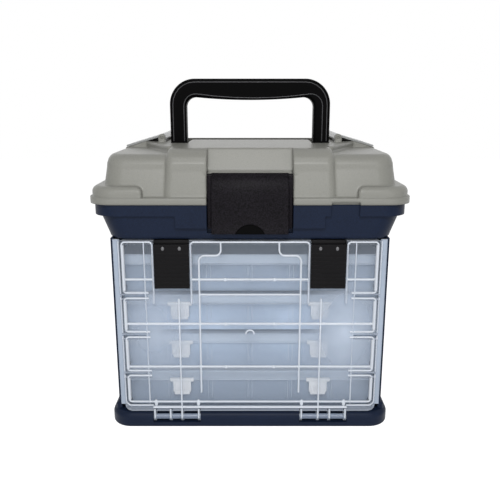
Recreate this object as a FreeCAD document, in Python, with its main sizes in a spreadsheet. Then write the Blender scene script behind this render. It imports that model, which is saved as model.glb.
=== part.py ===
import FreeCAD, Part
import math
import os
from types import SimpleNamespace

import Sketcher

# Fishing tackle cabinet. Millimetres, +X to the right, +Y to the back, +Z up.
# The origin is the middle of the resting face, under the centre of the base.

SIZES = {
    # general moulding
    "wall": 2.5,                 # wall of the large mouldings
    "fit": 0.3,                  # clearance between pieces that move
    # base
    "base_half": 155.5,          # half width of the base
    "base_front": 117,           # front face of the base, forward of the origin
    "base_back": 112,            # back face of the base
    "base_corner": 23,           # plan corner radius of the base
    "base_edge": 6,              # rounding of the base's upper edge
    "base_foot_edge": 3,         # rounding of the base's lower edge
    "floor_top": 17.5,           # shelf floor that the lowest box stands over
    "floor_thick": 3,            # thickness of the shelf floor
    "plinth_rise": 6.5,          # collar of the base round the rack
    "plinth_wall": 4.4,          # thickness of that collar
    "base_rib": 2.5,             # cross ribs under the base
    # rack
    "rack_half": 146.6,          # outer half width of the rack
    "rack_front": 105.5,         # front edge of the rack walls
    "rack_wall": 3,              # wall of the rack
    "rack_top": 214,             # top of the rack, where the upper tray stands
    "rail_thick": 3.4,           # height of a rail
    # boxes
    "box_half": 139.7,           # half width of a box
    "box_front": 97,             # front face of a box
    "box_depth": 184,            # depth of a box
    "box_height": 41.4,          # height of a box
    "box_pitch": 45,             # distance between boxes
    "box_skirt": 10,             # height of a box lid's skirt
    "box_skin": 1.8,             # wall of a box
    "box_step": 4,               # how far the foot of a box steps in
    "box_foot": 7,               # height of the narrow foot of a box
    "box_latch_x": 75,           # centre of a box latch
    "box_latch_half": 14,        # half width of a box latch's bar
    "box_latch_bar": 4.5,        # height of that bar
    "box_latch_foot": 11,        # half width of a box latch below its bar
    "box_latch_drop": 3.7,       # box latch below the top of its box
    "box_latch_tall": 22,        # height of a box latch
    "box_latch_thick": 2,        # thickness of a box latch
    "divider_pitch": 45,         # distance between dividers
    "divider_thick": 1.4,        # thickness of a divider
    "guide_width": 1.2,          # ribs that hold a divider
    "guide_depth": 2,            # how far these ribs stand out
    # door
    "door_half": 138,            # half width of the door's raised face
    "door_flange": 6,            # flange beyond the raised face
    "door_front": 113,           # raised face of the door
    "door_skin": 2.4,            # wall of the door
    "door_low": 18.6,            # lower edge of the door
    "door_gap": 1,               # gap above the door
    "door_flange_low": 24,       # lower end of the door's flange
    "door_corner": 6,            # rounding of the door's lower corners
    "hinge_y": 112,              # door hinge axis, forward of the origin
    "hinge_z": 11,               # door hinge axis above the ground
    "hinge_pin": 6,              # diameter of a door hinge pin
    "finger_radius": 4.4,        # end radius of a door finger
    "finger_thick": 3,           # thickness of a door finger
    "finger_outer": 105.5,       # outermost finger
    "finger_second": 87.9,       # second finger
    "finger_third": 75.2,        # third finger
    "finger_inner": 56.5,        # innermost finger
    "rib_width": 1.4,            # ribs on the door
    "rib_height": 1.1,           # how far the ribs stand out
    "rib_outer": 111,            # outer upright rib
    "rib_inner": 53.5,           # inner upright rib
    "rib_middle": 30,            # short upright rib at the top
    "rib_outer_low": 27.6,       # lower end of the outer upright rib
    "rib_inner_low": 40.6,       # lower end of the inner upright rib
    "rib_latch_low": 20.6,       # lower end of the upright rib under a latch
    "rib_jog": 195.5,            # height of the rib's sideways step
    "rib_short": 152.6,          # short level rib
    "notch_first": 61.3,         # height of the lowest notch
    "notch_tall": 5,             # height of a notch
    "rib_level": 70.1,           # height of the lowest level rib
    "rib_level_pitch": 49.75,    # distance between level ribs
    "door_rim": 4,               # width of the raised rim round the door's face
    "door_rim_height": 1,        # how far the rim stands out
    "notch_deep": 4,             # depth of a notch
    # door latches
    "slide_x": 81.8,             # centre of a door latch
    "slide_half": 18.4,          # half width of a door latch
    "slide_low": 162,            # lower edge of a door latch
    "slide_high": 209.5,         # upper edge of its face
    "slide_thick": 3.4,          # thickness of its face
    "slide_travel": 12,          # travel of a door latch
    "slide_grip_pitch": 4.4,     # distance between grip ribs
    "tongue_half": 14,           # half width of its tongue
    "tongue_thick": 2.2,         # thickness of its tongue
    "tongue_reach": 4.5,         # how far the tongue enters the upper tray
    "slot_wall": 3,              # wall of the boss round a tongue's slot
    "cheek_low": 144,            # lower end of the cheeks beside a latch
    "cheek_wall": 1.6,           # thickness of a cheek
    "cheek_height": 2.6,         # how far a cheek stands out
    # upper tray
    "tray_half_low": 149.5,      # half width at the bottom
    "tray_half_high": 157.4,     # half width below the band
    "tray_front_low": 114,       # front at the bottom
    "tray_front_high": 115,      # front below the band
    "tray_corner": 25,           # plan corner radius
    "tray_edge": 4,              # rounding of the lower edge
    "tray_floor": 3,             # floor of the upper tray
    "band_low": 239,             # lower edge of the raised band
    "band_half": 163,            # half width of the band
    "band_front": 117.5,         # front of the band
    "band_step": 226.5,          # lower edge of the band beside the latch
    "band_step_x": 77,           # where the band steps down
    "band_notch_near": 83,       # finger notch, inner end
    "band_notch_far": 112,       # finger notch, outer end
    # lid
    "rim_low": 251,              # parting plane of the lid
    "rim_tall": 7,               # height of the lid's rim
    "rim_half": 167.5,           # half width of the rim
    "rim_front": 119,            # front of the rim
    "rim_corner": 27,            # plan corner radius of the rim
    "shoulder_half": 165,        # corner bands of the lid
    "shoulder_front": 117,       # front of the corner bands
    "shoulder_tall": 11,         # height of the corner bands
    "shoulder_x": 110,           # inner end of the corner bands
    "dome_half": 154.3,          # half width of the lid's wall
    "dome_front": 112,           # front of the lid's wall
    "dome_corner": 20,           # plan corner radius of the wall
    "dome_top": 300,             # top of the left and right parts
    "dome_half_top": 151,        # half width at the top
    "dome_front_top": 101,       # front edge where its brow starts
    "dome_edge": 8,              # rounding of the sides' top edge
    "dome_brow": 14,             # rounding of the front and back top edge
    "block_half": 89,            # half width of the raised middle
    "block_front": 116,          # front of the raised middle at its foot
    "block_front_top": 107,      # front of the raised middle where its brow starts
    "block_top": 306,            # top of the raised middle
    "block_edge": 5,             # rounding of its sides
    "block_brow": 22,            # rounding of its front and back
    "block_corner": 8,           # plan corner radius of the raised middle
    "block_lean": 1.5,           # how far its sides lean inwards
    "ceiling": 283,              # underside of the lid over the storage
    "recess_half": 44.3,         # half width of the latch recess
    "recess_cheek": 5,           # thickness of the recess's side walls
    "recess_face": 100.5,        # back face of the latch recess in the lid
    "catch_face": 109.5,         # back face of the latch recess in the tray
    "recess_ramp": 279,          # foot of the ramp over the latch
    "ramp_top": 86,              # where the ramp meets the top
    # lid hinge
    "lid_axis_y": 124,           # axis of the lid hinge
    "knuckle_radius": 4.5,       # lid hinge knuckles
    "lid_rod": 4,                # diameter of the hinge rod
    "knuckle_pitch": 56,         # distance between knuckles
    "knuckle_wide": 27.4,        # width of a knuckle
    # handle
    "handle_half": 92.5,         # half width of the handle
    "handle_leg": 19,            # width of a leg
    "handle_top": 378.2,         # top of the raised handle
    "grip_under": 358.6,         # underside of the grip at its ends
    "grip_belly": 4.2,           # how far the grip hangs lower in the middle
    "handle_thick": 20,          # front to back
    "handle_pivot": 296,         # height of the handle's pivot
    "handle_outer": 29,          # outer corner radius
    "handle_inner": 11,          # inner corner radius
    "handle_edge": 4,            # rounded edges of the handle
    "handle_pin": 6,             # diameter of the pivot pins
    "pin_grip": 5,               # how far a pivot pin enters the lid
    # main latch
    "latch_half": 39.3,          # half width of the main latch
    "latch_low": 222,            # lower edge of the main latch
    "latch_top": 283,            # upper edge of the main latch
    "latch_axis_y": 105.5,       # axis of the main latch
    "latch_axis_z": 279.5,       # height of that axis
    "latch_pin": 4,              # diameter of the latch pin
    "latch_bore": 3.5,           # depth of its bores in the recess's side walls
    "latch_pin_grip": 3,         # how far the pin enters them
    "catch_bar_short": 8,        # how much shorter the catch bar is than the latch, at each end
    "catch_bar_low": 11,         # lower edge of the catch bar above the latch's lower edge
    "catch_bar_tall": 3,         # height of the catch bar
    "catch_bar_deep": 4,         # how far the catch bar stands out
    "latch_corner": 7,           # rounded upper corners of the main latch
    "latch_skin": 2.4,           # thickness of the latch
    "thumb_radius": 16.5,        # thumb hollow at the lower edge
    # top covers
    "cover_axis_x": 104,         # hinge axis of a cover
    "cover_axis_z": 311.5,       # height of that axis
    "cover_barrel": 4.2,         # radius of the cover's barrel
    "cover_pin": 3,              # diameter of a cover's pin
    "cover_far": 147,            # outer edge of a cover
    "cover_front": 5,            # front edge of a cover, behind the origin
    "cover_back": 85,            # back edge of a cover
    "cover_skin": 2.2,           # thickness of a cover
    "ear_long": 6,               # length of an ear at each end of the barrel
    "frame_wall": 4,             # wall of the frame round a compartment
    "flare_start": 66,           # where the raised middle starts to flare, forward of the origin
    "flare_far": 123,            # half width of the flare where it meets the frames
    "shoulder_round": 7,         # rounded inner ends of the corner bands
}

doc = FreeCAD.newDocument("tackle_cabinet")
sheet = doc.addObject("Spreadsheet::Sheet", "Sizes")


class Size:
    """A length that keeps both its sheet expression and its value."""

    def __init__(self, text, value):
        self.text = text
        self.value = value

    def __float__(self):
        return float(self.value)

    def __add__(self, other):
        other = as_size(other)
        return Size(f"({self.text} + {other.text})", self.value + other.value)

    def __radd__(self, other):
        return as_size(other) + self

    def __sub__(self, other):
        other = as_size(other)
        return Size(f"({self.text} - {other.text})", self.value - other.value)

    def __rsub__(self, other):
        return as_size(other) - self

    def __mul__(self, other):
        other = as_size(other)
        return Size(f"({self.text} * {other.text})", self.value * other.value)

    __rmul__ = __mul__

    def __truediv__(self, other):
        other = as_size(other)
        return Size(f"({self.text} / {other.text})", self.value / other.value)

    def __neg__(self):
        return Size(f"(0 - {self.text})", -self.value)


def as_size(thing):
    if isinstance(thing, Size):
        return thing
    return Size(repr(thing), thing)


def fill_sheet():
    sizes = {}
    for row, (name, value) in enumerate(SIZES.items(), 1):
        sheet.set(f"A{row}", name)
        sheet.set(f"B{row}", str(value))
        sheet.setAlias(f"B{row}", name)
        sizes[name] = Size(f"Sizes.{name}", value)
    doc.recompute()
    return SimpleNamespace(**sizes)


d = fill_sheet()


# ---- building blocks ----

def bind(thing, path, size):
    thing.setExpression(path, as_size(size).text)


def new_body(label):
    body = doc.addObject("PartDesign::Body", label)
    body.Label = label
    return body


def plane_of(body, role):
    return next(f for f in body.Origin.OriginFeatures if f.Role == role)


def sketch_on(body, name, role, offset):
    """A sketch parallel to an origin plane, moved along the plane's normal."""
    sketch = body.newObject("Sketcher::SketchObject", name)
    sketch.AttachmentSupport = [(plane_of(body, role), "")]
    sketch.MapMode = "FlatFace"
    bind(sketch, "AttachmentOffset.Base.z", offset)
    return sketch


def pin_point(sketch, edge, end, x, y):
    """Hold one end of an edge at a place that the sheet gives."""
    for kind, size in (("DistanceX", x), ("DistanceY", y)):
        size = as_size(size)
        n = sketch.addConstraint(Sketcher.Constraint(kind, -1, 1, edge, end, float(size)))
        sketch.setExpression(f"Constraints[{n}]", size.text)


def outline(sketch, points, bellies=None):
    """A closed outline through points of the sheet's sizes. Edges are straight, or hang in a level arc."""
    bellies = bellies or {}
    places = [FreeCAD.Vector(float(as_size(x)), float(as_size(y)), 0) for x, y in points]
    first = sketch.GeometryCount
    count = len(points)
    ends = {}
    for n in range(count):
        start, stop = places[n], places[(n + 1) % count]
        if n in bellies:
            lowest = (start + stop) / 2 - FreeCAD.Vector(0, float(bellies[n]), 0)
            sketch.addGeometry(Part.Arc(start, lowest, stop), False)
        else:
            sketch.addGeometry(Part.LineSegment(start, stop), False)
        turned = n in bellies and sketch.getPoint(first + n, 1).distanceToPoint(start) > 1e-3
        ends[n] = (2, 1) if turned else (1, 2)
    for n in range(count):
        after = (n + 1) % count
        sketch.addConstraint(Sketcher.Constraint("Coincident", first + n, ends[n][1],
                                                 first + after, ends[after][0]))
    for n, (x, y) in enumerate(points):
        pin_point(sketch, first + n, ends[n][0], x, y)
    for n, drop in bellies.items():
        chord = as_size(points[(n + 1) % count][0]) - points[n][0]
        radius = chord * chord / (drop * 8) + drop / 2
        c = sketch.addConstraint(Sketcher.Constraint("Radius", first + n, float(radius)))
        sketch.setExpression(f"Constraints[{c}]", radius.text)


def rectangle(sketch, left, right, low, high):
    outline(sketch, [(left, low), (right, low), (right, high), (left, high)])


def rounded_rectangle(sketch, left, right, low, high, radius):
    """A rectangle with four equal tangent arcs for corners."""
    x0, x1, y0, y1, r = (float(as_size(v)) for v in (left, right, low, high, radius))
    centres = ((x1 - r, y0 + r, -90), (x1 - r, y1 - r, 0), (x0 + r, y1 - r, 90), (x0 + r, y0 + r, 180))
    for cx, cy, start in centres:
        circle = Part.Circle(FreeCAD.Vector(cx, cy, 0), FreeCAD.Vector(0, 0, 1), r)
        sketch.addGeometry(Part.ArcOfCircle(circle, math.radians(start), math.radians(start + 90)), False)
    sides = (((x0 + r, y0), (x1 - r, y0)), ((x1, y0 + r), (x1, y1 - r)),
             ((x1 - r, y1), (x0 + r, y1)), ((x0, y1 - r), (x0, y0 + r)))
    for start, end in sides:
        sketch.addGeometry(Part.LineSegment(FreeCAD.Vector(*start, 0), FreeCAD.Vector(*end, 0)), False)
    for n in range(4):
        sketch.addConstraint(Sketcher.Constraint("Tangent", 4 + n, 2, n, 1))
        sketch.addConstraint(Sketcher.Constraint("Tangent", n, 2, 4 + (n + 1) % 4, 1))
    for n in range(3):
        sketch.addConstraint(Sketcher.Constraint("Equal", n, n + 1))
    for n, kind in ((4, "Horizontal"), (6, "Horizontal"), (5, "Vertical"), (7, "Vertical")):
        sketch.addConstraint(Sketcher.Constraint(kind, n))
    sizes = (("Radius", (0,), radius), ("DistanceY", (-1, 1, 4, 1), low), ("DistanceY", (-1, 1, 6, 1), high),
             ("DistanceX", (-1, 1, 5, 1), right), ("DistanceX", (-1, 1, 7, 1), left))
    for kind, where, size in sizes:
        size = as_size(size)
        n = sketch.addConstraint(Sketcher.Constraint(kind, *where, float(size)))
        sketch.setExpression(f"Constraints[{n}]", size.text)


def pad(body, name, sketch, length, reverse=False):
    feature = body.newObject("PartDesign::Pad", name)
    feature.Profile = sketch
    bind(feature, "Length", length)
    feature.Reversed = reverse
    sketch.Visibility = False
    return feature


def pocket(body, name, sketch, length, reverse=False):
    """A cut that has to take something away."""
    doc.recompute()
    before = body.Shape.Volume
    feature = body.newObject("PartDesign::Pocket", name)
    feature.Profile = sketch
    bind(feature, "Length", length)
    feature.Reversed = reverse
    doc.recompute()
    if body.Shape.Volume > before - 1e-3:
        raise ValueError(f"{name} cuts nothing")
    return feature


def loft(body, name, sections, kind="PartDesign::AdditiveLoft"):
    feature = body.newObject(kind, name)
    feature.Profile = sections[0]
    feature.Sections = sections[1:]
    feature.Ruled = True
    return feature


def block(body, name, x, y, z, cut=False):
    """A rectangular block from pairs of limits along X, Y and Z."""
    kind = "PartDesign::SubtractiveBox" if cut else "PartDesign::AdditiveBox"
    feature = body.newObject(kind, name)
    for side, (low, high) in (("Length", x), ("Width", y), ("Height", z)):
        bind(feature, side, as_size(high) - low)
    for axis, (low, high) in (("x", x), ("y", y), ("z", z)):
        bind(feature, f"Placement.Base.{axis}", low)
    return feature


TURNS = {
    "x": FreeCAD.Rotation(FreeCAD.Vector(0, 1, 0), 90),
    "y": FreeCAD.Rotation(FreeCAD.Vector(1, 0, 0), -90),
    "z": FreeCAD.Rotation(),
}


def rod(body, name, axis, start, length, radius, cut=False):
    """A cylinder from a start point along an axis."""
    kind = "PartDesign::SubtractiveCylinder" if cut else "PartDesign::AdditiveCylinder"
    feature = body.newObject(kind, name)
    feature.Placement = FreeCAD.Placement(FreeCAD.Vector(), TURNS[axis])
    bind(feature, "Radius", radius)
    bind(feature, "Height", length)
    for letter, size in zip("xyz", start):
        bind(feature, f"Placement.Base.{letter}", size)
    return feature


def edges_where(shape, test):
    return [f"Edge{n}" for n, edge in enumerate(shape.Edges, 1) if test(edge)]


def near(a, b, slack=0.05):
    return abs(float(a) - float(b)) < slack


def fillet(body, name, radius, test):
    """Round the edges of the body's last feature that pass a test."""
    doc.recompute()
    names = edges_where(body.Tip.Shape, test)
    if not names:
        raise ValueError(f"{name} finds no edge")
    feature = body.newObject("PartDesign::Fillet", name)
    feature.Base = (feature.BaseFeature, names)
    bind(feature, "Radius", radius)
    return feature


def flat_loop(z):
    """Edges that lie in a level plane."""
    return lambda edge: near(edge.BoundBox.ZMin, z) and near(edge.BoundBox.ZMax, z)


def level_outline(body, name, z, half, front, back, corner):
    sketch = sketch_on(body, name, "XY_Plane", z)
    rounded_rectangle(sketch, -half, half, -front, back, corner)
    return sketch


class Work:
    """A piece made from a form, with solids added to it and cut from it in stages."""

    def __init__(self, label, form=None):
        self.label = label
        self.shape = form
        self.added = []
        self.taken = []
        self.stage = 0

    def take(self, thing, cut=False):
        (self.taken if cut else self.added).append(thing)
        return thing

    def block(self, name, x, y, z, cut=False):
        """A rectangular block from pairs of limits along X, Y and Z."""
        thing = doc.addObject("Part::Box", name)
        for side, (low, high) in (("Length", x), ("Width", y), ("Height", z)):
            bind(thing, side, as_size(high) - low)
        for axis, (low, high) in (("x", x), ("y", y), ("z", z)):
            bind(thing, f"Placement.Base.{axis}", low)
        return self.take(thing, cut)

    def rod(self, name, axis, start, length, radius, cut=False):
        """A cylinder from a start point along an axis."""
        return self.take(cylinder(name, axis, start, length, radius), cut)

    def settle(self):
        """Join what was added, then cut what was taken away."""
        self.stage += 1
        parts = ([self.shape] if self.shape else []) + self.added
        if len(parts) > 1:
            joined = doc.addObject("Part::MultiFuse", f"{self.label}_joined_{self.stage}")
            joined.Shapes = parts
            self.shape = joined
        elif parts:
            self.shape = parts[0]
        if self.taken:
            tool = self.taken[0]
            if len(self.taken) > 1:
                tool = doc.addObject("Part::MultiFuse", f"{self.label}_tools_{self.stage}")
                tool.Shapes = self.taken
            rest = doc.addObject("Part::Cut", f"{self.label}_cut_{self.stage}")
            rest.Base = self.shape
            rest.Tool = tool
            self.shape = rest
        self.added = []
        self.taken = []

    def finish(self):
        if self.added or self.taken:
            self.settle()
        self.shape.Label = self.label
        return self.shape


def cylinder(name, axis, start, length, radius):
    thing = doc.addObject("Part::Cylinder", name)
    thing.Placement = FreeCAD.Placement(FreeCAD.Vector(), TURNS[axis])
    bind(thing, "Radius", radius)
    bind(thing, "Height", length)
    for letter, size in zip("xyz", start):
        bind(thing, f"Placement.Base.{letter}", size)
    return thing


# ---- places that several pieces share ----

RACK_BACK = d.box_depth - d.box_front + 2 + d.rack_wall
BOX_LOW = d.floor_top + d.fit
DOOR_TOP = d.rack_top - d.door_gap
DOOR_EDGE = d.door_half + d.door_flange
FINGERS = (d.finger_outer, d.finger_second, d.finger_third, d.finger_inner)
BOX_COUNT = 4
SIDES = (("left", -1), ("right", 1))
PAST = 1      # how far a cut runs past the face that it opens
SINK = 2      # how far a form sinks into the one that carries it
EAR_SPAN = 2 * d.ear_long
FRAME_NEAR = d.handle_half + 2 * d.fit + d.wall
GRIP_FRONT = d.grip_under - d.handle_pivot - d.handle_inner - 2 * d.fit


def span(side, near_x, far_x):
    """Limits along X on one side, in rising order."""
    if side < 0:
        return (-as_size(far_x), -as_size(near_x))
    return (as_size(near_x), as_size(far_x))


# ---- base ----

def make_base():
    form = new_body("base_form")
    foot = level_outline(form, "base_foot", 0, d.base_half, d.base_front, d.base_back, d.base_corner)
    pad(form, "base_slab", foot, d.floor_top)
    fillet(form, "base_upper_edge", d.base_edge, flat_loop(d.floor_top))
    fillet(form, "base_lower_edge", d.base_foot_edge, flat_loop(0))
    ring = sketch_on(form, "plinth_ring", "XY_Plane", d.floor_top - d.base_edge)
    rounded_rectangle(ring, -d.rack_half - d.plinth_wall, d.rack_half + d.plinth_wall,
                      -d.rack_front, RACK_BACK + d.plinth_wall, d.plinth_wall)
    pad(form, "plinth", ring, d.base_edge + d.plinth_rise)
    fillet(form, "plinth_edge", d.plinth_wall * 0.6, flat_loop(d.floor_top + d.plinth_rise))
    make_base_cells(form)
    work = Work("base", form)
    work.block("rack_place", (-d.rack_half, d.rack_half), (-d.rack_front - PAST, RACK_BACK),
               (d.floor_top, d.floor_top + d.plinth_rise + PAST), cut=True)
    make_hinge_pockets(work)
    return work.finish()


def make_base_cells(body):
    """Open cells under the floor, with ribs left between them."""
    cells = sketch_on(body, "cells", "XY_Plane", 0)
    margin = 3 * d.floor_thick
    left = -d.base_half + margin
    front = -d.rack_front + d.floor_thick
    wide = (2 * d.base_half - 2 * margin - d.base_rib) / 2
    deep = (d.rack_front + d.base_back - d.floor_thick - margin - d.base_rib) / 2
    for column in range(2):
        for row in range(2):
            x = left + column * (wide + d.base_rib)
            y = front + row * (deep + d.base_rib)
            rectangle(cells, x, x + wide, y, y + deep)
    pocket(body, "underside", cells, d.floor_top - d.floor_thick, reverse=True)


def make_hinge_pockets(work):
    """Pockets in the front edge for the door's fingers, and the pins' bores."""
    room = d.finger_thick / 2 + d.fit
    back = -d.hinge_y + d.finger_radius + 2 * d.fit
    low = d.hinge_z - d.finger_radius - 2 * d.fit
    for side_name, side in SIDES:
        work.block(f"pocket_{side_name}", span(side, d.finger_inner - room, d.finger_outer + room),
                   (-d.base_front - PAST, back), (low, d.floor_top + PAST), cut=True)
        start, end = pin_limits(side)
        work.rod(f"pin_bore_{side_name}", "x", (start, -d.hinge_y, d.hinge_z), end - start,
                 d.hinge_pin / 2, cut=True)


def pin_limits(side):
    """Ends of a door hinge pin, in the solid beyond the outer and inner fingers."""
    grip = 2 * d.finger_thick
    return span(side, d.finger_inner - grip, d.finger_outer + grip)


# ---- rack ----

def make_rack():
    form = new_body("rack_form")
    inner = d.rack_half - d.rack_wall
    plan = sketch_on(form, "rack_plan", "XY_Plane", d.floor_top)
    outline(plan, [(-d.rack_half, -d.rack_front), (-inner, -d.rack_front), (-inner, RACK_BACK - d.rack_wall),
                   (inner, RACK_BACK - d.rack_wall), (inner, -d.rack_front), (d.rack_half, -d.rack_front),
                   (d.rack_half, RACK_BACK), (-d.rack_half, RACK_BACK)])
    pad(form, "rack_walls", plan, d.rack_top - d.floor_top)
    work = Work("rack", form)
    shoulder = BOX_LOW + d.box_foot - d.fit
    reach = d.box_half - d.box_skin - d.box_step
    for n in range(BOX_COUNT):
        top = shoulder + n * d.box_pitch
        for side_name, side in SIDES:
            work.block(f"rail_{n + 1}_{side_name}", span(side, reach, inner),
                       (-d.rack_front + d.rack_wall, RACK_BACK - d.rack_wall), (top - d.rail_thick, top))
    return work.finish()


# ---- upper tray ----

def make_upper_tray():
    work = Work("upper_tray", tray_form("tray", d.rack_top, 0, d.tray_edge))
    band_form = new_body("band_form")
    band = level_outline(band_form, "band", d.band_low, d.band_half, d.band_front, d.band_front,
                         d.tray_corner + 1)
    pad(band_form, "tray_band", band, d.rim_low - d.band_low)
    work.take(band_form)
    for side_name, side in SIDES:
        work.block(f"band_step_{side_name}", span(side, d.recess_half, d.band_step_x),
                   (-d.band_front, -d.tray_front_low), (d.band_step, d.band_low))
    work.take(tray_form("tray_hollow", d.rack_top + d.tray_floor, d.wall, d.tray_edge), cut=True)
    mouth_form = new_body("mouth_form")
    inset = d.wall
    mouth = level_outline(mouth_form, "mouth", d.band_low, d.tray_half_high - inset, d.tray_front_high - inset,
                          d.tray_front_high - inset, d.tray_corner - inset)
    pad(mouth_form, "tray_mouth", mouth, d.rim_low - d.band_low + 1)
    work.take(mouth_form, cut=True)
    work.block("finger_notch", (d.band_notch_near, d.band_notch_far),
               (-d.band_front - PAST, -d.tray_front_high), (d.band_low, d.rim_low + PAST), cut=True)
    work.settle()
    make_latch_catch(work)
    make_tongue_slots(work)
    make_knuckles(work, "tray", (0, 2, 4), d.rim_low - d.knuckle_radius, d.rim_low, 0)
    work.settle()
    face = -d.catch_face
    half = d.latch_half - d.catch_bar_short
    low = d.latch_low + d.catch_bar_low
    work.block("catch_bar", (-half, half), (face - d.catch_bar_deep, face + d.wall / 2),
               (low, low + d.catch_bar_tall))
    return work.finish()


def tray_form(name, floor, inset, edge):
    """The flaring sides of the tray, rounded below in level sections."""
    form = new_body(f"{name}_form")
    sections = []
    for n, turn in enumerate((0, 30, 60, 90)):
        shrink = edge * (1 - math.sin(math.radians(turn)))
        rise = edge * (1 - math.cos(math.radians(turn)))
        sections.append(level_outline(
            form, f"{name}_{n}", floor + rise, d.tray_half_low - inset - shrink,
            d.tray_front_low - inset - shrink, d.tray_front_low - d.wall - inset - shrink,
            d.tray_corner - inset - shrink))
    sections.append(level_outline(form, f"{name}_top", d.band_low, d.tray_half_high - inset,
                                  d.tray_front_high - inset, d.tray_front_high - inset, d.tray_corner - inset))
    loft(form, f"{name}_loft", sections)
    return form


def make_latch_catch(work):
    """A recess for the main latch, closed behind."""
    face = -d.catch_face
    work.block("catch_wall", (-d.recess_half - d.wall, d.recess_half + d.wall),
               (-d.tray_front_low + d.wall / 2, face + d.wall), (d.rack_top + d.tray_floor / 2, d.rim_low))
    work.block("catch_recess", (-d.recess_half, d.recess_half), (-d.band_front - PAST, face),
               (d.latch_low - PAST, d.rim_low + PAST), cut=True)


def make_tongue_slots(work):
    """Slots in the underside that the tongues of the door latches enter."""
    low, high = tongue_depth()
    for side_name, side in SIDES:
        near_x = d.slide_x - d.tongue_half
        far_x = d.slide_x + d.tongue_half
        work.block(f"slot_boss_{side_name}", span(side, near_x - d.slot_wall, far_x + d.slot_wall),
                   (low - d.slot_wall, high + d.slot_wall),
                   (d.rack_top + d.tray_floor / 2, d.rack_top + d.tongue_reach + d.slot_wall))
        work.block(f"slot_{side_name}", span(side, near_x - d.fit * 2, far_x + d.fit * 2),
                   (low - d.fit * 2, high + d.fit * 2),
                   (d.rack_top - PAST, d.rack_top + d.tongue_reach + d.fit * 2), cut=True)


def tongue_depth():
    """Front and back faces of a door latch's tongue, in front of the thin wall behind its bay."""
    back = -d.rack_front - d.door_skin / 2 - 2 * d.fit
    return back - d.tongue_thick, back


def make_knuckles(work, prefix, places, low, high, play):
    """Hinge knuckles behind the rim, at every other place along the rod."""
    for n in places:
        start = (n - 2.5) * d.knuckle_pitch + (d.knuckle_pitch - d.knuckle_wide) / 2
        work.block(f"{prefix}_arm_{n}", (start, start + d.knuckle_wide), (d.band_front - 3, d.lid_axis_y),
                   (low, high))
        work.rod(f"{prefix}_knuckle_{n}", "x", (start, d.lid_axis_y, d.rim_low), d.knuckle_wide,
                 d.knuckle_radius)
    work.rod(f"{prefix}_rod_bore", "x", (-3 * d.knuckle_pitch, d.lid_axis_y, d.rim_low), 6 * d.knuckle_pitch,
             d.lid_rod / 2 + play, cut=True)


# ---- lid ----

def make_lid():
    rim_form = new_body("rim_form")
    rim = level_outline(rim_form, "rim_plan", d.rim_low, d.rim_half, d.rim_front, d.rim_front, d.rim_corner)
    pad(rim_form, "rim", rim, d.rim_tall)
    rim_top = d.rim_low + d.rim_tall
    fillet(rim_form, "rim_edge", 1.2, flat_loop(rim_top))
    shoulder_form = new_body("shoulder_form")
    shoulder = level_outline(shoulder_form, "shoulder_plan", rim_top - SINK, d.shoulder_half, d.shoulder_front,
                             d.shoulder_front, d.rim_corner - 2)
    pad(shoulder_form, "shoulders", shoulder, d.shoulder_tall + SINK)
    gap = sketch_on(shoulder_form, "shoulder_gap_face", "XZ_Plane", d.rim_front)
    shoulder_top = rim_top + d.shoulder_tall
    rectangle(gap, -d.shoulder_x, d.shoulder_x, rim_top, shoulder_top + 1)
    pocket(shoulder_form, "shoulder_gap", gap, 2 * d.rim_front)
    fillet(shoulder_form, "shoulder_ends", d.shoulder_round,
           lambda e: along(e, "y") and near(e.BoundBox.ZMin, shoulder_top))
    fillet(shoulder_form, "shoulder_edge", 2.5, on_outer_wall(rim_top))
    work = Work("lid", shoulder_form)
    work.settle()
    work.take(rim_form)
    work.take(dome_form(rim_top - SINK))
    work.take(middle_form(rim_top - SINK))
    make_frames(work)
    make_lid_hollow(work)
    work.settle()
    make_latch_recess(work)
    make_handle_channel(work)
    make_compartments(work)
    work.block("rim_notch", (d.band_notch_near, d.band_notch_far), (-d.rim_front - PAST, -d.tray_front_high),
               (d.rim_low - PAST, d.rim_low + 2.7), cut=True)
    make_knuckles(work, "lid", (1, 3), d.rim_low, d.rim_low + d.knuckle_radius, d.fit / 2)
    return work.finish()


def on_outer_wall(low):
    """Upper edges of the outer wall of the corner bands."""
    front = float(d.shoulder_front)
    half = float(d.shoulder_half)

    def test(edge):
        box = edge.BoundBox
        if box.ZMax < float(low) + 1 or along(edge, "z"):
            return False
        if along(edge, "y") and near(abs(box.XMin), d.shoulder_x):
            return False
        if box.XMax - box.XMin < 0.01 and not near(abs(box.XMin), half):
            return False
        return near(abs(box.YMin), front) or near(abs(box.YMax), front) or near(abs(box.XMin), half) \
            or near(abs(box.XMax), half)
    return test


def dome_form(low):
    form = new_body("dome_form")
    foot = (d.dome_half, d.dome_front)
    head = (d.dome_half_top, d.dome_front_top)
    loft(form, "dome", rising_sections(form, "dome", (low, d.dome_top), foot, head, d.dome_corner,
                                       (d.dome_edge, d.dome_brow)))
    return form


def rising_sections(form, name, span_z, foot, head, corner, edges):
    """Level sections of a moulding that leans inwards, with a rounded upper edge."""
    low, top = span_z
    side_edge, brow = edges
    sections = [level_outline(form, f"{name}_foot", low, foot[0], foot[1], foot[1], corner)]
    for turn in (0, 20, 40, 55, 70, 80, 90):
        rise = brow * math.sin(math.radians(turn))
        bend = 1 - math.cos(math.radians(turn))
        half = head[0] - side_edge * bend
        front = head[1] - brow * bend
        sections.append(level_outline(form, f"{name}_{turn}", top - brow + rise, half, front, front,
                                      corner - side_edge * bend))
    return sections


def middle_form(low):
    form = new_body("middle_form")
    foot = (d.block_half, d.block_front)
    head = (d.block_half - d.block_lean, d.block_front_top)
    loft(form, "middle", rising_sections(form, "middle", (low, d.block_top), foot, head, d.block_corner,
                                         (d.block_edge, d.block_brow)))
    return form


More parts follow.
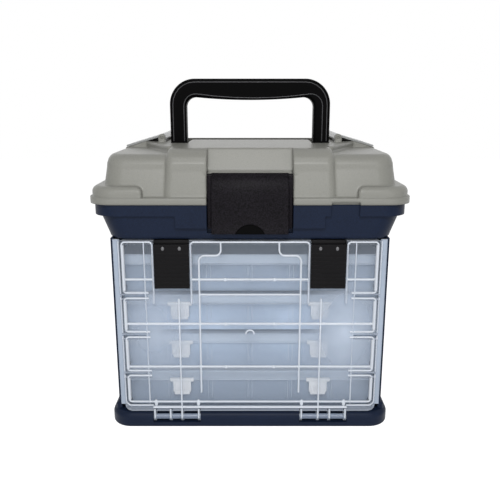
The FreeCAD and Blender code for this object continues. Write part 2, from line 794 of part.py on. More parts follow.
def make_lid_hollow(work):
    """The storage under the lid, and pockets above its ceiling that keep the walls thin."""
    room_form = new_body("room_form")
    foot = level_outline(room_form, "room_foot", d.rim_low - 1, d.dome_half - d.wall, d.dome_front - d.wall,
                         d.dome_front - d.wall, d.dome_corner - d.wall)
    head = level_outline(room_form, "room_head", d.ceiling, d.dome_half_top - d.wall, d.dome_front_top - d.wall,
                         d.dome_front_top - d.wall, d.dome_corner - d.wall)
    loft(room_form, "room", [foot, head])
    work.take(room_form, cut=True)
    low = d.ceiling - 1
    high = d.block_top - d.wall
    channel = d.handle_half - d.handle_leg - d.fit * 2 - d.wall
    channel_back = d.handle_top - d.handle_pivot + d.fit * 2 + d.wall
    work.block("middle_room", (-channel, channel), (-d.ramp_top + 6, GRIP_FRONT - d.wall), (low, high),
               cut=True)
    work.block("back_room", (-d.block_half + d.block_edge, d.block_half - d.block_edge),
               (channel_back, d.dome_front_top - d.wall), (low, d.dome_top - 2 * d.wall), cut=True)
    for side_name, side in SIDES:
        work.block(f"front_room_{side_name}", span(side, channel + d.wall, d.block_half - 5),
                   (-d.ramp_top + 6, -d.handle_thick / 2 - 2 * d.wall), (low, high), cut=True)
        work.block(f"corner_room_{side_name}",
                   span(side, d.block_half + d.block_edge, d.dome_half_top - 5 * d.wall),
                   (-d.dome_front_top + 6 * d.wall, d.cover_front - d.wall),
                   (low, d.dome_top - 2 * d.wall), cut=True)
        work.block(f"flare_room_{side_name}",
                   span(side, FRAME_NEAR, d.cover_axis_x + d.cover_barrel + 1 - d.wall),
                   (d.cover_front + d.wall, d.cover_back - d.wall), (low, d.dome_top), cut=True)


def make_latch_recess(work):
    """A recess in the front for the main latch, and the ramp above it."""
    face = -d.recess_face
    work.block("recess_wall", (-d.recess_half - d.recess_cheek, d.recess_half + d.recess_cheek),
               (-d.dome_front + SINK, face + d.wall), (d.rim_low, d.ceiling + PAST))
    recess_form = new_body("recess_form")
    side = sketch_on(recess_form, "recess_side", "YZ_Plane", -d.recess_half)
    outline(side, [(-d.rim_front - 4, d.rim_low - 1), (face, d.rim_low - 1), (face, d.recess_ramp),
                   (-d.ramp_top, d.block_top + 0.5), (-d.rim_front - 4, d.block_top + 0.5)])
    pad(recess_form, "recess", side, 2 * d.recess_half)
    work.take(recess_form, cut=True)
    work.rod("latch_bore", "x", (-d.recess_half - d.latch_bore, -d.latch_axis_y, d.latch_axis_z),
             2 * (d.recess_half + d.latch_bore), d.latch_pin / 2, cut=True)


def make_handle_channel(work):
    """Channels that the handle folds back into, and the bores of its pins."""
    room = d.fit * 2
    floor = d.handle_pivot - d.handle_thick / 2 - room
    back = d.handle_top - d.handle_pivot + room
    leg_in = d.handle_half - d.handle_leg - room
    leg_out = d.handle_half + room
    for side_name, side in SIDES:
        work.block(f"leg_channel_{side_name}", span(side, leg_in, leg_out),
                   (-d.handle_thick / 2 - room, back), (floor, d.block_top + PAST), cut=True)
        work.rod(f"pivot_bore_{side_name}", "x",
                 (span(side, leg_in - d.pin_grip, leg_out + d.pin_grip)[0], 0, d.handle_pivot),
                 leg_out - leg_in + 2 * d.pin_grip, d.handle_pin / 2, cut=True)
    work.block("grip_channel", (-leg_out, leg_out), (GRIP_FRONT, back),
               (floor, d.block_top + PAST), cut=True)


def make_frames(work):
    """The flares of the raised middle, and the sloping frames that the covers close."""
    low = d.dome_top - 5
    wedge_low = d.cover_axis_z - d.cover_barrel - 1
    for side_name, side in SIDES:
        form = new_body(f"flare_form_{side_name}")
        plan = sketch_on(form, f"flare_plan_{side_name}", "XY_Plane", low)
        points = [(d.block_half - d.block_edge - 1, -d.flare_start), (d.block_half, -d.flare_start),
                  (d.flare_far, d.cover_front), (d.flare_far, d.cover_front + d.frame_wall),
                  (d.block_half - d.block_edge - 1, d.cover_front + d.frame_wall)]
        outline(plan, [(on_side(side, x), y) for x, y in points])
        pad(form, f"flare_{side_name}", plan, d.block_top - low)
        work.take(form)
        frame = new_body(f"frame_form_{side_name}")
        section = sketch_on(frame, f"frame_section_{side_name}", "XZ_Plane", -d.cover_front)
        top = cover_underside(d.flare_far) - d.fit
        far = d.cover_far + 1
        points = [(FRAME_NEAR - d.frame_wall, low), (far, low), (far, cover_underside(far) - d.fit),
                  (d.flare_far, top), (d.cover_axis_x + d.cover_barrel + 1, wedge_low),
                  (FRAME_NEAR - d.frame_wall, wedge_low)]
        outline(section, [(on_side(side, x), z) for x, z in points])
        pad(frame, f"frame_{side_name}", section, d.cover_back - d.cover_front, reverse=True)
        work.take(frame)


def cover_underside(x):
    """Height of a closed cover's underside at a distance from the middle."""
    near_x = d.cover_axis_x + 1
    near_z = d.cover_axis_z + d.cover_barrel - 1 - d.cover_skin
    far_z = d.dome_top + d.fit
    return near_z + (far_z - near_z) * (x - near_x) / (d.cover_far - near_x)


def make_compartments(work):
    """Two open compartments in the top, with ears for their covers' pins."""
    for side_name, side in SIDES:
        work.block(f"compartment_{side_name}", span(side, d.cover_axis_x + d.cover_barrel + PAST,
                                                    d.cover_far - d.frame_wall),
                   (d.cover_front + d.frame_wall, d.cover_back - d.frame_wall),
                   (d.ceiling + d.wall, d.cover_axis_z), cut=True)
        for end, start in (("front", d.cover_front - d.ear_long), ("back", d.cover_back)):
            work.block(f"ear_{end}_{side_name}", span(side, d.cover_axis_x - d.cover_barrel,
                                                      d.cover_axis_x + d.cover_barrel),
                       (start, start + d.ear_long), (d.ceiling + 1, d.cover_axis_z))
            work.rod(f"ear_top_{end}_{side_name}", "y", (on_side(side, d.cover_axis_x), start, d.cover_axis_z),
                     d.ear_long, d.cover_barrel)
        work.rod(f"ear_bore_{side_name}", "y", (on_side(side, d.cover_axis_x), d.cover_front - d.ear_long,
                                                d.cover_axis_z),
                 d.cover_back - d.cover_front + EAR_SPAN, d.cover_pin / 2, cut=True)


def on_side(side, x):
    return x if side > 0 else -x


def make_cover(side_name, side):
    """A clear cover that slopes down outwards from its barrel."""
    body = new_body(f"cover_{side_name}")
    long = d.cover_back - d.cover_front - 2 * d.fit
    section = sketch_on(body, f"cover_section_{side_name}", "XZ_Plane", -d.cover_front - d.fit)
    near_x = d.cover_axis_x + 1
    near_z = cover_underside(near_x)
    far_z = cover_underside(d.cover_far)
    points = [(near_x, near_z), (d.cover_far, far_z), (d.cover_far, far_z + d.cover_skin),
              (near_x, near_z + d.cover_skin)]
    outline(section, [(on_side(side, x), z) for x, z in points])
    pad(body, f"cover_panel_{side_name}", section, long, reverse=True)
    x = on_side(side, d.cover_axis_x)
    start = d.cover_front + d.fit
    rod(body, f"cover_barrel_{side_name}", "y", (x, start, d.cover_axis_z), long, d.cover_barrel)
    rod(body, f"cover_bore_{side_name}", "y", (x, start - PAST, d.cover_axis_z), long + 2,
        d.cover_pin / 2 + d.fit / 2, cut=True)
    return body


# ---- handle ----

def make_handle():
    body = new_body("handle")
    face = sketch_on(body, "handle_face", "XZ_Plane", -d.handle_thick / 2)
    low = d.handle_pivot - d.handle_thick / 2 + d.fit
    inner = d.handle_half - d.handle_leg
    outline(face, [(-d.handle_half, low), (-inner, low), (-inner, d.grip_under), (inner, d.grip_under),
                   (inner, low), (d.handle_half, low), (d.handle_half, d.handle_top),
                   (-d.handle_half, d.handle_top)],
            {2: d.grip_belly})
    pad(body, "handle_arch", face, d.handle_thick)
    fillet(body, "outer_corners", d.handle_outer,
           lambda e: along(e, "y") and near(e.BoundBox.ZMin, d.handle_top))
    fillet(body, "inner_corners", d.handle_inner,
           lambda e: along(e, "y") and near(e.BoundBox.ZMin, d.grip_under))
    fillet(body, "leg_ends", d.handle_thick / 2 - 0.4, lambda e: along(e, "x") and near(e.BoundBox.ZMin, low))
    face_y = float(d.handle_thick) / 2
    fillet(body, "handle_edges", d.handle_edge,
           lambda e: near(abs(e.BoundBox.YMin), face_y) and near(e.BoundBox.YMin, e.BoundBox.YMax)
           and e.BoundBox.ZMax > float(d.handle_pivot) + face_y)
    rod(body, "pivot_hole", "x", (-d.handle_half - PAST, 0, d.handle_pivot), 2 * d.handle_half + 2,
        d.handle_pin / 2 + d.fit / 2, cut=True)
    return body


def along(edge, axis):
    """Whether an edge is straight and parallel to an axis."""
    if not isinstance(edge.Curve, Part.Line):
        return False
    return near(abs(getattr(edge.Curve.Direction, axis)), 1, 1e-6)


# ---- main latch ----

def make_main_latch():
    body = new_body("latch_form")
    side = sketch_on(body, "latch_side", "YZ_Plane", -d.latch_half)
    t = d.latch_skin
    front = -d.rim_front - 1.2
    outline(side, [(front - 4, d.latch_low), (front - 1, d.latch_low + 12), (front, d.latch_low + 21),
                   (front + 0.4, d.latch_low + 41), (-d.latch_axis_y - 3.5, d.latch_top - 1),
                   (-d.latch_axis_y - 1.5, d.latch_top), (-d.latch_axis_y + 1, d.latch_top - 4),
                   (front + 0.6 + t, d.latch_low + 40), (front + t, d.latch_low + 21),
                   (front + t, d.latch_low)])
    pad(body, "latch_plate", side, 2 * d.latch_half)
    rod(body, "latch_barrel", "x", (-d.latch_half, -d.latch_axis_y, d.latch_axis_z), 2 * d.latch_half,
        d.latch_pin / 2 + 1.8)
    rod(body, "latch_hole", "x", (-d.latch_half - PAST, -d.latch_axis_y, d.latch_axis_z), 2 * d.latch_half + 2,
        d.latch_pin / 2 + d.fit / 2, cut=True)
    rod(body, "thumb_hollow", "y", (0, front - 8, d.latch_low - 2), 7.5, d.thumb_radius, cut=True)
    window_form = new_body("latch_window")
    window = sketch_on(window_form, "latch_face", "XZ_Plane", 0)
    rounded_rectangle(window, -d.latch_half, d.latch_half, d.latch_low - 2 * d.latch_corner, d.latch_top,
                      d.latch_corner)
    pad(window_form, "latch_prism", window, d.rim_front + 20)
    plate = doc.addObject("Part::Common", "main_latch")
    plate.Base = body
    plate.Tool = window_form
    plate.Label = "main_latch"
    return plate


# ---- door ----

def make_door():
    form = new_body("door_form")
    front = -d.door_front
    back = -d.rack_front
    skin = d.door_skin
    face = sketch_on(form, "door_face", "XZ_Plane", d.rack_front)
    rounded_rectangle(face, -d.door_half, d.door_half, d.door_low, DOOR_TOP, d.door_corner)
    pad(form, "door_block", face, d.door_front - d.rack_front)
    inner = sketch_on(form, "door_inner", "XZ_Plane", d.rack_front)
    rounded_rectangle(inner, -d.door_half + skin, d.door_half - skin, d.door_low + skin, DOOR_TOP - skin,
                      d.door_corner - skin)
    pocket(form, "door_hollow", inner, d.door_front - d.rack_front - skin, reverse=True)
    work = Work("door", form)
    for side_name, side in SIDES:
        work.block(f"flange_{side_name}", span(side, d.door_half - 1, DOOR_EDGE), (back - skin, back),
                   (d.door_flange_low, DOOR_TOP))
        make_notches(work, side_name, side, front)
        make_latch_bay(work, side_name, side, front, back)
        make_fingers(work, side_name, side)
        make_side_ribs(work, side_name, side, front)
    make_level_ribs(work, front)
    make_rim(work, front)
    work.settle()
    for side_name, side in SIDES:
        make_cheeks(work, side_name, side, front)
    return work.finish()


def make_notches(work, side_name, side, front):
    """Level notches in line with the rails, closed behind."""
    skin = d.door_skin
    for n in range(BOX_COUNT - 1):
        middle = d.notch_first + n * d.box_pitch
        low = middle - d.notch_tall / 2
        high = middle + d.notch_tall / 2
        work.block(f"notch_back_{n}_{side_name}", span(side, d.rib_outer - skin, d.door_half - 0.5),
                   (front + 0.5, front + d.notch_deep + skin), (low - skin, high + skin))
        work.block(f"notch_{n}_{side_name}", span(side, d.rib_outer, d.door_half + PAST),
                   (front - 2, front + d.notch_deep), (low, high), cut=True)


def make_latch_bay(work, side_name, side, front, back):
    """An opening behind each latch for its tongue."""
    near_x = d.slide_x - d.slide_half - d.fit
    far_x = d.slide_x + d.slide_half + d.fit
    low = slide_block_low() - d.slide_travel - 1
    skin = d.door_skin
    work.block(f"bay_box_{side_name}", span(side, near_x - skin, far_x + skin), (front + 0.5, back),
               (low - skin, DOOR_TOP))
    work.block(f"bay_{side_name}", span(side, near_x, far_x), (front - 2, back - skin / 2),
               (low, DOOR_TOP + PAST), cut=True)
    work.block(f"bay_face_{side_name}", span(side, near_x, far_x), (front - 2, front),
               (d.cheek_low, low + PAST), cut=True)


def make_cheeks(work, side_name, side, front):
    """Upright cheeks that guide a latch, down to the end of its travel."""
    near_x = d.slide_x - d.slide_half - d.fit
    far_x = d.slide_x + d.slide_half + d.fit
    for name, edge, shift in (("near", near_x, -d.cheek_wall), ("far", far_x, 0)):
        work.block(f"cheek_{name}_{side_name}", span(side, edge + shift, edge + shift + d.cheek_wall),
                   (front - d.cheek_height, front + 0.5), (d.cheek_low, DOOR_TOP))


def make_fingers(work, side_name, side):
    """Fingers under the door that turn on the pins in the base."""
    for n, middle in enumerate(FINGERS):
        limits = span(side, middle - d.finger_thick / 2, middle + d.finger_thick / 2)
        work.block(f"finger_{n}_{side_name}", limits,
                   (-d.hinge_y - d.finger_radius + 1, -d.hinge_y + d.finger_radius - 1),
                   (d.hinge_z, d.door_low + d.door_skin / 2))
        work.rod(f"finger_end_{n}_{side_name}", "x", (limits[0], -d.hinge_y, d.hinge_z),
                 d.finger_thick, d.finger_radius)
    start, end = pin_limits(side)
    work.rod(f"finger_hole_{side_name}", "x", (start, -d.hinge_y, d.hinge_z), end - start,
             d.hinge_pin / 2 + d.fit / 2, cut=True)


def make_side_ribs(work, side_name, side, front):
    half = d.rib_width / 2
    depth = (front - d.rib_height, front + 0.5)
    upright = (("outer", d.rib_outer, d.rib_outer_low, DOOR_TOP),
               ("inner", d.rib_inner, d.rib_inner_low, d.rib_jog),
               ("middle", d.rib_middle, d.rib_jog, DOOR_TOP),
               ("latch", d.finger_third, d.rib_latch_low, d.cheek_low))
    for name, x, low, high in upright:
        work.block(f"rib_{name}_{side_name}", span(side, x - half, x + half), depth, (low, high))
    work.block(f"rib_jog_{side_name}", span(side, d.rib_middle - half, d.rib_inner + half), depth,
               (d.rib_jog - half, d.rib_jog + half))


def make_rim(work, front):
    """A rim that stands out round the door's face, open at the top for the latches."""
    depth = (front - d.door_rim_height, front + 0.5)
    inner = d.door_half - d.door_rim
    for side_name, side in SIDES:
        lows = [d.door_low + d.door_corner] + [d.notch_first + n * d.box_pitch + d.notch_tall / 2
                                               for n in range(BOX_COUNT - 1)]
        highs = [d.notch_first + n * d.box_pitch - d.notch_tall / 2 for n in range(BOX_COUNT - 1)] + [DOOR_TOP]
        for n, (low, high) in enumerate(zip(lows, highs)):
            work.block(f"rim_{n}_{side_name}", span(side, inner, d.door_half), depth, (low, high))
        work.block(f"rim_top_{side_name}", span(side, d.slide_x + d.slide_half + 2 * d.fit, inner + 1), depth,
                   (DOOR_TOP - d.door_rim, DOOR_TOP))
    reach = d.slide_x - d.slide_half - 2 * d.fit
    work.block("rim_top", (-reach, reach), depth, (DOOR_TOP - d.door_rim, DOOR_TOP))
    low_reach = d.door_half - d.door_corner
    work.block("rim_low", (-low_reach, low_reach), depth, (d.door_low, d.door_low + d.door_rim))


def make_level_ribs(work, front):
    half = d.rib_width / 2
    depth = (front - d.rib_height, front + 0.5)
    for n in range(BOX_COUNT - 1):
        z = d.rib_level + n * d.rib_level_pitch
        reach = d.slide_x - d.slide_half - 2 if n == BOX_COUNT - 2 else d.door_half - 2
        work.block(f"rib_level_{n}", (-reach, reach), depth, (z - half, z + half))
    work.block("rib_short", (-d.rib_inner, d.rib_inner), depth, (d.rib_short - half, d.rib_short + half))


# ---- door latches ----

def slide_block_low():
    """Lower face of the block that carries a latch's tongue."""
    return d.slide_high - 13


def make_door_latch(side_name, side):
    work = Work(f"door_latch_{side_name}")
    plate_back = -d.door_front - d.fit
    plate_front = plate_back - d.slide_thick
    limits = span(side, d.slide_x - d.slide_half, d.slide_x + d.slide_half)
    work.block(f"slide_plate_{side_name}", limits, (plate_front, plate_back), (d.slide_low, d.slide_high))
    count = 9
    for n in range(count):
        z = d.slide_low + 1 + n * d.slide_grip_pitch
        work.block(f"grip_{n}_{side_name}", limits, (plate_front - 0.8, plate_front + 0.5),
                   (z, z + d.slide_grip_pitch / 2))
    low, high = tongue_depth()
    tongue = span(side, d.slide_x - d.tongue_half, d.slide_x + d.tongue_half)
    work.block(f"slide_carrier_{side_name}", tongue, (plate_back - 0.5, high),
               (slide_block_low(), d.slide_high))
    work.block(f"tongue_{side_name}", tongue, (low, high), (slide_block_low(), d.rack_top + d.tongue_reach))
    return work.finish()


# ---- boxes ----

def make_box_tray(n):
    low = BOX_LOW + n * d.box_pitch
    body = new_body(f"box_{n + 1}_tray")
    skin = d.box_skin
    half = d.box_half - skin - d.fit
    front = d.box_front - skin - d.fit
    back = d.box_depth - d.box_front - skin - d.fit
    top = low + d.box_height - skin - d.fit
    foot = d.box_step
    block(body, f"tray_foot_{n}", (-half + foot, half - foot), (-front, back), (low, low + d.box_foot + 1))
    block(body, f"tray_walls_{n}", (-half, half), (-front, back), (low + d.box_foot, top))
    fillet(body, f"tray_corners_{n}", 4, lambda e: along(e, "z") and e.Length > float(d.box_height) / 2)
    block(body, f"tray_foot_room_{n}", (-half + foot + skin, half - foot - skin), (-front + skin, back - skin),
          (low + skin, low + d.box_foot + skin + PAST), cut=True)
    block(body, f"tray_room_{n}", (-half + skin, half - skin), (-front + skin, back - skin),
          (low + d.box_foot + skin, top + PAST), cut=True)
    return body


def divider_places(reach):
    return [k * d.divider_pitch for k in range(-reach, reach + 1)]


def add_guides(body, n):
    """Pairs of ribs on the front and back walls that hold the dividers."""
    low = BOX_LOW + n * d.box_pitch
    skin = d.box_skin
    front = -d.box_front + 2 * skin + d.fit
    back = d.box_depth - d.box_front - 2 * skin - d.fit
    top = low + d.box_height - 3 * skin
    gap = d.divider_thick / 2 + d.fit
    plan = sketch_on(body, f"guide_plan_{n}", "XY_Plane", low + skin / 2)
    for x in divider_places(2):
        for start in (x - gap - d.guide_width, x + gap):
            for y0, y1 in ((front - 0.5, front + d.guide_depth), (back - d.guide_depth, back + 0.5)):
                rectangle(plan, start, start + d.guide_width, y0, y1)
    pad(body, f"guides_{n}", plan, top - low - skin / 2)
    return body


def make_dividers(n):
    """Loose dividers in the three middle places."""
    low = BOX_LOW + n * d.box_pitch
    skin = d.box_skin
    group = []
    for k, x in enumerate(divider_places(1)):
        plate = doc.addObject("Part::Box", f"divider_{n + 1}_{k}")
        front = -d.box_front + 2 * skin + 2 * d.fit
        back = d.box_depth - d.box_front - 2 * skin - 2 * d.fit
        bottom = low + skin + d.fit
        bind(plate, "Length", d.divider_thick)
        bind(plate, "Width", back - front)
        bind(plate, "Height", d.box_height - 4 * skin)
        bind(plate, "Placement.Base.x", x - d.divider_thick / 2)
        bind(plate, "Placement.Base.y", front)
        bind(plate, "Placement.Base.z", bottom)
        group.append(plate)
    return gather(f"box_{n + 1}_dividers", group)


def gather(label, pieces):
    """Separate solids that share one node."""
    node = doc.addObject("Part::Compound", label)
    node.Label = label
    node.Links = pieces
    return node


def make_box_lid(n):
    low = BOX_LOW + n * d.box_pitch
    top = low + d.box_height
    skin = d.box_skin
    body = new_body(f"box_{n + 1}_lid")
    back = d.box_depth - d.box_front
    block(body, f"cap_{n}", (-d.box_half, d.box_half), (-d.box_front, back), (top - d.box_skirt, top))
    fillet(body, f"cap_corners_{n}", 5, lambda e: along(e, "z"))
    block(body, f"cap_room_{n}", (-d.box_half + skin, d.box_half - skin), (-d.box_front + skin, back - skin),
          (top - d.box_skirt - PAST, top - skin), cut=True)
    return body


def make_box_latches(n):
    """Two snap latches on the front of a box, each a plate under a wider bar."""
    top = BOX_LOW + n * d.box_pitch + d.box_height - d.box_latch_drop
    face = -d.box_front - d.fit / 2
    thick = d.box_latch_thick
    group = []
    for side_name, side in SIDES:
        work = Work(f"box_latch_{n + 1}_{side_name}")
        for name, half, low, high, front in (("bar", d.box_latch_half, top - d.box_latch_bar, top,
                                              face - thick * 1.4),
                                             ("plate", d.box_latch_foot, top - d.box_latch_tall, top - 1,
                                              face - thick)):
            work.block(f"latch_{name}_{n + 1}_{side_name}",
                       span(side, d.box_latch_x - half, d.box_latch_x + half),
                       (front, face), (low, high))
        group.append(work.finish())
    return gather(f"box_{n + 1}_latches", group)


# ---- pins and rods ----

def straight_pin(label, axis, start, length, radius):
    pin = cylinder(label, axis, start, length, radius)
    pin.Label = label
    return pin


def make_pins():
    nodes = []
    pins = []
    for side_name, side in SIDES:
        start, end = pin_limits(side)
        pins.append(straight_pin(f"door_pin_{side_name}", "x", (start, -d.hinge_y, d.hinge_z), end - start,
                                 d.hinge_pin / 2))
    nodes.append(gather("door_hinge_pins", pins))
    nodes.append(straight_pin("lid_hinge_rod", "x", (-2.5 * d.knuckle_pitch, d.lid_axis_y, d.rim_low),
                              5 * d.knuckle_pitch, d.lid_rod / 2))
    nodes.append(straight_pin("main_latch_pin", "x", (-d.recess_half - d.latch_pin_grip, -d.latch_axis_y,
                                                         d.latch_axis_z),
                              2 * (d.recess_half + d.latch_pin_grip), d.latch_pin / 2))
    pins = []
    room = d.fit * 2
    for side_name, side in SIDES:
        leg = span(side, d.handle_half - d.handle_leg - room - d.pin_grip + 0.5,
                   d.handle_half + room + d.pin_grip - 0.5)
        pins.append(straight_pin(f"handle_pin_{side_name}", "x", (leg[0], 0, d.handle_pivot), leg[1] - leg[0],
                                 d.handle_pin / 2))
    nodes.append(gather("handle_pins", pins))
    for side_name, side in SIDES:
        x = on_side(side, d.cover_axis_x)
        nodes.append(straight_pin(f"cover_pin_{side_name}", "y",
                                  (x, d.cover_front - d.ear_long, d.cover_axis_z),
                                  d.cover_back - d.cover_front + EAR_SPAN, d.cover_pin / 2))
    return nodes


# ---- build and write ----

def build_all():
    nodes = [make_base(), make_rack(), make_upper_tray(), make_lid(), make_handle(), make_main_latch(),
             make_door()]
    for side_name, side in SIDES:
        nodes.append(make_door_latch(side_name, side))
        nodes.append(make_cover(side_name, side))
    for n in range(BOX_COUNT):
        nodes.append(add_guides(make_box_tray(n), n))
        nodes.append(make_dividers(n))
        nodes.append(make_box_lid(n))
        nodes.append(make_box_latches(n))
    nodes.extend(make_pins())
    return nodes


def check_and_write(nodes):
    doc.recompute()
    for thing in doc.Objects:
        bad = [word for word in thing.State if word in ("Invalid", "Error")]
        if bad:
            raise ValueError(f"{thing.Label} is {bad}")
    for node in nodes:
        if node.Shape.isNull() or not node.Shape.isValid():
            raise ValueError(f"{node.Label} has no valid shape")
    for node in nodes:
        node.Shape.exportStep(f"parts/{node.Label}.step")
        print(f"{node.Label}: {len(node.Shape.Solids)} solids, {node.Shape.Volume / 1000:.1f} cm3")


os.makedirs("parts", exist_ok=True)
check_and_write(build_all())
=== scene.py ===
import math

import bmesh
import bpy
from mathutils import Matrix, Vector


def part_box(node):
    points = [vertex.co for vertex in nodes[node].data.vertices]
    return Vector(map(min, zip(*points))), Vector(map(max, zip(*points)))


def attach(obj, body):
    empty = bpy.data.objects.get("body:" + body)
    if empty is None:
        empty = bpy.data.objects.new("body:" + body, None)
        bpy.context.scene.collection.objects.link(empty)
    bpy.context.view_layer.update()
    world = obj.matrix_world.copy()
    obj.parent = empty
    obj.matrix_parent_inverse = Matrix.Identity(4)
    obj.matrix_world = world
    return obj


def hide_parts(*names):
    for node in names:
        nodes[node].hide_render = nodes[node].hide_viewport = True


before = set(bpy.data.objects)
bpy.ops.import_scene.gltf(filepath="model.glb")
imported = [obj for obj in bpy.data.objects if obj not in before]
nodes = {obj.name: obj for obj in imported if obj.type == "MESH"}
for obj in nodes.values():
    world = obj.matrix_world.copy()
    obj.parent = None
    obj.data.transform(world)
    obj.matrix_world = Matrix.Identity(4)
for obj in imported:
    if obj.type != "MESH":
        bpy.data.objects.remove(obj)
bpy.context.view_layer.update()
mm = 0.001
sides = {"left": -1, "right": 1}
boxNumbers = (1, 2, 3, 4)  # box 1 is the lowest
print("frame loaded:", len(nodes), "nodes")


def toLinear(hexText):
    parts = [int(hexText[i:i + 2], 16) / 255 for i in (1, 3, 5)]
    return [c / 12.92 if c <= 0.04045 else ((c + 0.055) / 1.055) ** 2.4 for c in parts] + [1.0]


def addNode(tree, kind, settings=None, links=None):
    node = tree.nodes.new(kind)
    for name, value in (settings or {}).items():
        if isinstance(name, str) and hasattr(node, name):
            setattr(node, name, value)
        else:
            node.inputs[name].default_value = value
    for name, source in (links or {}).items():
        tree.links.new(source, node.inputs[name])
    return node


def newMaterial(name):
    material = bpy.data.materials.new(name)
    material.use_nodes = True
    material.node_tree.nodes.clear()
    return material, material.node_tree


# Opaque moulded plastics. Two colours flow into each other over flowMm, and grainMm is the tool's grain.
# speck is how dark the pits of the grain are, depthMm their depth, and softMm how far the shading rounds
# an edge. A real grain is about 0.3 mm, or 0.6 mm on the main latch. All are drawn coarser so that they show.

# Polypropylene, moulded in a spark-eroded tool: a dull, even, dark blue skin with faint broad highlights.
navyPlastic = {"colour": "#131c2e", "second": "#182237", "flowMm": 70, "grainMm": 0.9, "speck": 0.82,
               "rough": 0.4, "bump": 0.3, "depthMm": 0.15, "ior": 1.49, "softMm": 1.2, "specular": 0.1}
# Polypropylene, moulded in a finer tool: a smoother grey skin, its highlights wide and soft on the brow.
greyPlastic = {"colour": "#84847e", "second": "#888882", "flowMm": 80, "grainMm": 1.0, "speck": 0.96,
               "rough": 0.32, "bump": 0.3, "depthMm": 0.14, "ior": 1.49, "softMm": 4.0, "specular": 0.3}
# Nylon, moulded in a blasted tool: a satin black that hardly mirrors anything.
handlePlastic = {"colour": "#060607", "second": "#090909", "flowMm": 60, "grainMm": 0.8, "speck": 0.8,
                 "rough": 0.36, "bump": 0.25, "depthMm": 0.12, "ior": 1.53, "softMm": 1.0, "specular": 0.015}
# Nylon again on the raised edges, drawn lighter: painted highlight, the thin bright lines that light draws
# along them.
rimHighlightPlastic = {"colour": "#2b2b2e", "second": "#343437", "flowMm": 60, "grainMm": 0.8, "speck": 0.8,
              "rough": 0.3, "bump": 0.15, "depthMm": 0.1, "ior": 1.53, "softMm": 0.3, "specular": 0.3}
# Acetal, moulded in a deeply etched tool: a coarse leathery grain that breaks the light into specks.
latchPlastic = {"colour": "#110e13", "second": "#161418", "flowMm": 30, "grainMm": 1.3, "speck": 0.25,
                "rough": 0.34, "bump": 1.0, "depthMm": 0.4, "ior": 1.53, "softMm": 1.0, "specular": 0.05}
# Acetal, moulded in a finely etched tool: an even satin black.
slidePlastic = {"colour": "#0a090b", "second": "#0f0e10", "flowMm": 30, "grainMm": 0.8, "speck": 0.8,
                "rough": 0.34, "bump": 0.2, "depthMm": 0.1, "ior": 1.53, "softMm": 0.5, "specular": 0.08}
# Acetal knobs drawn pale grey: painted highlight, the small glints of light on the black bumps.
knobGlintPlastic = {"colour": "#5c5c5f", "second": "#6a6a6d", "flowMm": 5, "grainMm": 0.8, "speck": 0.8,
               "rough": 0.28, "bump": 0.15, "depthMm": 0.1, "ior": 1.53, "softMm": 0.3, "specular": 0.5}

# The noise values that count as a pit and a peak of the grain, and how far the roughness swings.
grain = {"pit": 0.35, "peak": 0.65, "glossyFrom": 0.3, "dullFrom": 0.7, "glossier": 0.05, "duller": 0.07,
         "detail": 2.0, "flowDetail": 3.0, "edgeSamples": 8}


def mouldedPlastic(name, look):
    material, tree = newMaterial(name)
    place = addNode(tree, "ShaderNodeTexCoord").outputs["Object"]
    pits = addNode(tree, "ShaderNodeTexNoise",
                   {"Scale": 1 / (look["grainMm"] * mm), "Detail": grain["detail"]},
                   {"Vector": place}).outputs[0]
    flow = addNode(tree, "ShaderNodeTexNoise",
                   {"Scale": 1 / (look["flowMm"] * mm), "Detail": grain["flowDetail"]},
                   {"Vector": place}).outputs[0]
    tint = addNode(tree, "ShaderNodeMix", {"data_type": "RGBA", 6: toLinear(look["colour"]),
                                           7: toLinear(look["second"])}, {0: flow}).outputs[2]
    speck = addNode(tree, "ShaderNodeMapRange",
                    {"From Min": grain["pit"], "From Max": grain["peak"], "To Min": look["speck"],
                     "To Max": 2 - look["speck"]}, {"Value": pits}).outputs[0]
    shade = addNode(tree, "ShaderNodeVectorMath", {"operation": "SCALE"},
                    {0: tint, "Scale": speck}).outputs[0]
    rough = addNode(tree, "ShaderNodeMapRange",
                    {"From Min": grain["glossyFrom"], "From Max": grain["dullFrom"],
                     "To Min": look["rough"] - grain["glossier"], "To Max": look["rough"] + grain["duller"]},
                    {"Value": pits}).outputs[0]
    soft = addNode(tree, "ShaderNodeBevel", {"samples": grain["edgeSamples"],
                                             "Radius": look["softMm"] * mm}).outputs[0]
    bump = addNode(tree, "ShaderNodeBump", {"Strength": look["bump"], "Distance": look["depthMm"] * mm},
                   {"Height": pits, "Normal": soft}).outputs[0]
    skin = addNode(tree, "ShaderNodeBsdfPrincipled",
                   {"IOR": look["ior"], "Specular IOR Level": look["specular"]},
                   {"Base Color": shade, "Roughness": rough, "Normal": bump}).outputs[0]
    addNode(tree, "ShaderNodeOutputMaterial", {}, {"Surface": skin})
    return material


# Clear moulded plastics. solid and edgeSolid are how much a broad face and an edge hide of what is behind
# them, and rippleMm is the distance between the sink marks in the wall.
# cloud is a pale patch in the wall: (distance from the middle, height, half width, half height, strength),
# and the door's lean (left, right) is how much of it shows on the left and on the right. On the door the
# patches are partly moulding haze and partly painted reflection of the light.
# flange is a thicker margin: (where it starts, where it is full, strength).

# Clarified polypropylene, moulded in a polished tool: a clear, faintly blue wall with pale patches, stronger
# on the
# right: partly haze, partly painted reflection.
doorPlastic = {"colour": "#c5d2e4", "edge": "#e6ecf6", "solid": 0.11, "edgeSolid": 0.62, "rough": 0.16,
               "ior": 1.49, "rippleMm": 26, "bump": 0.12, "depthMm": 0.4, "cloud": (102, 112, 62, 92, 0.58),
               "flange": (137.0, 138.4, 0.5), "hazeAndReflectionLean": (0.8, 1.4)}
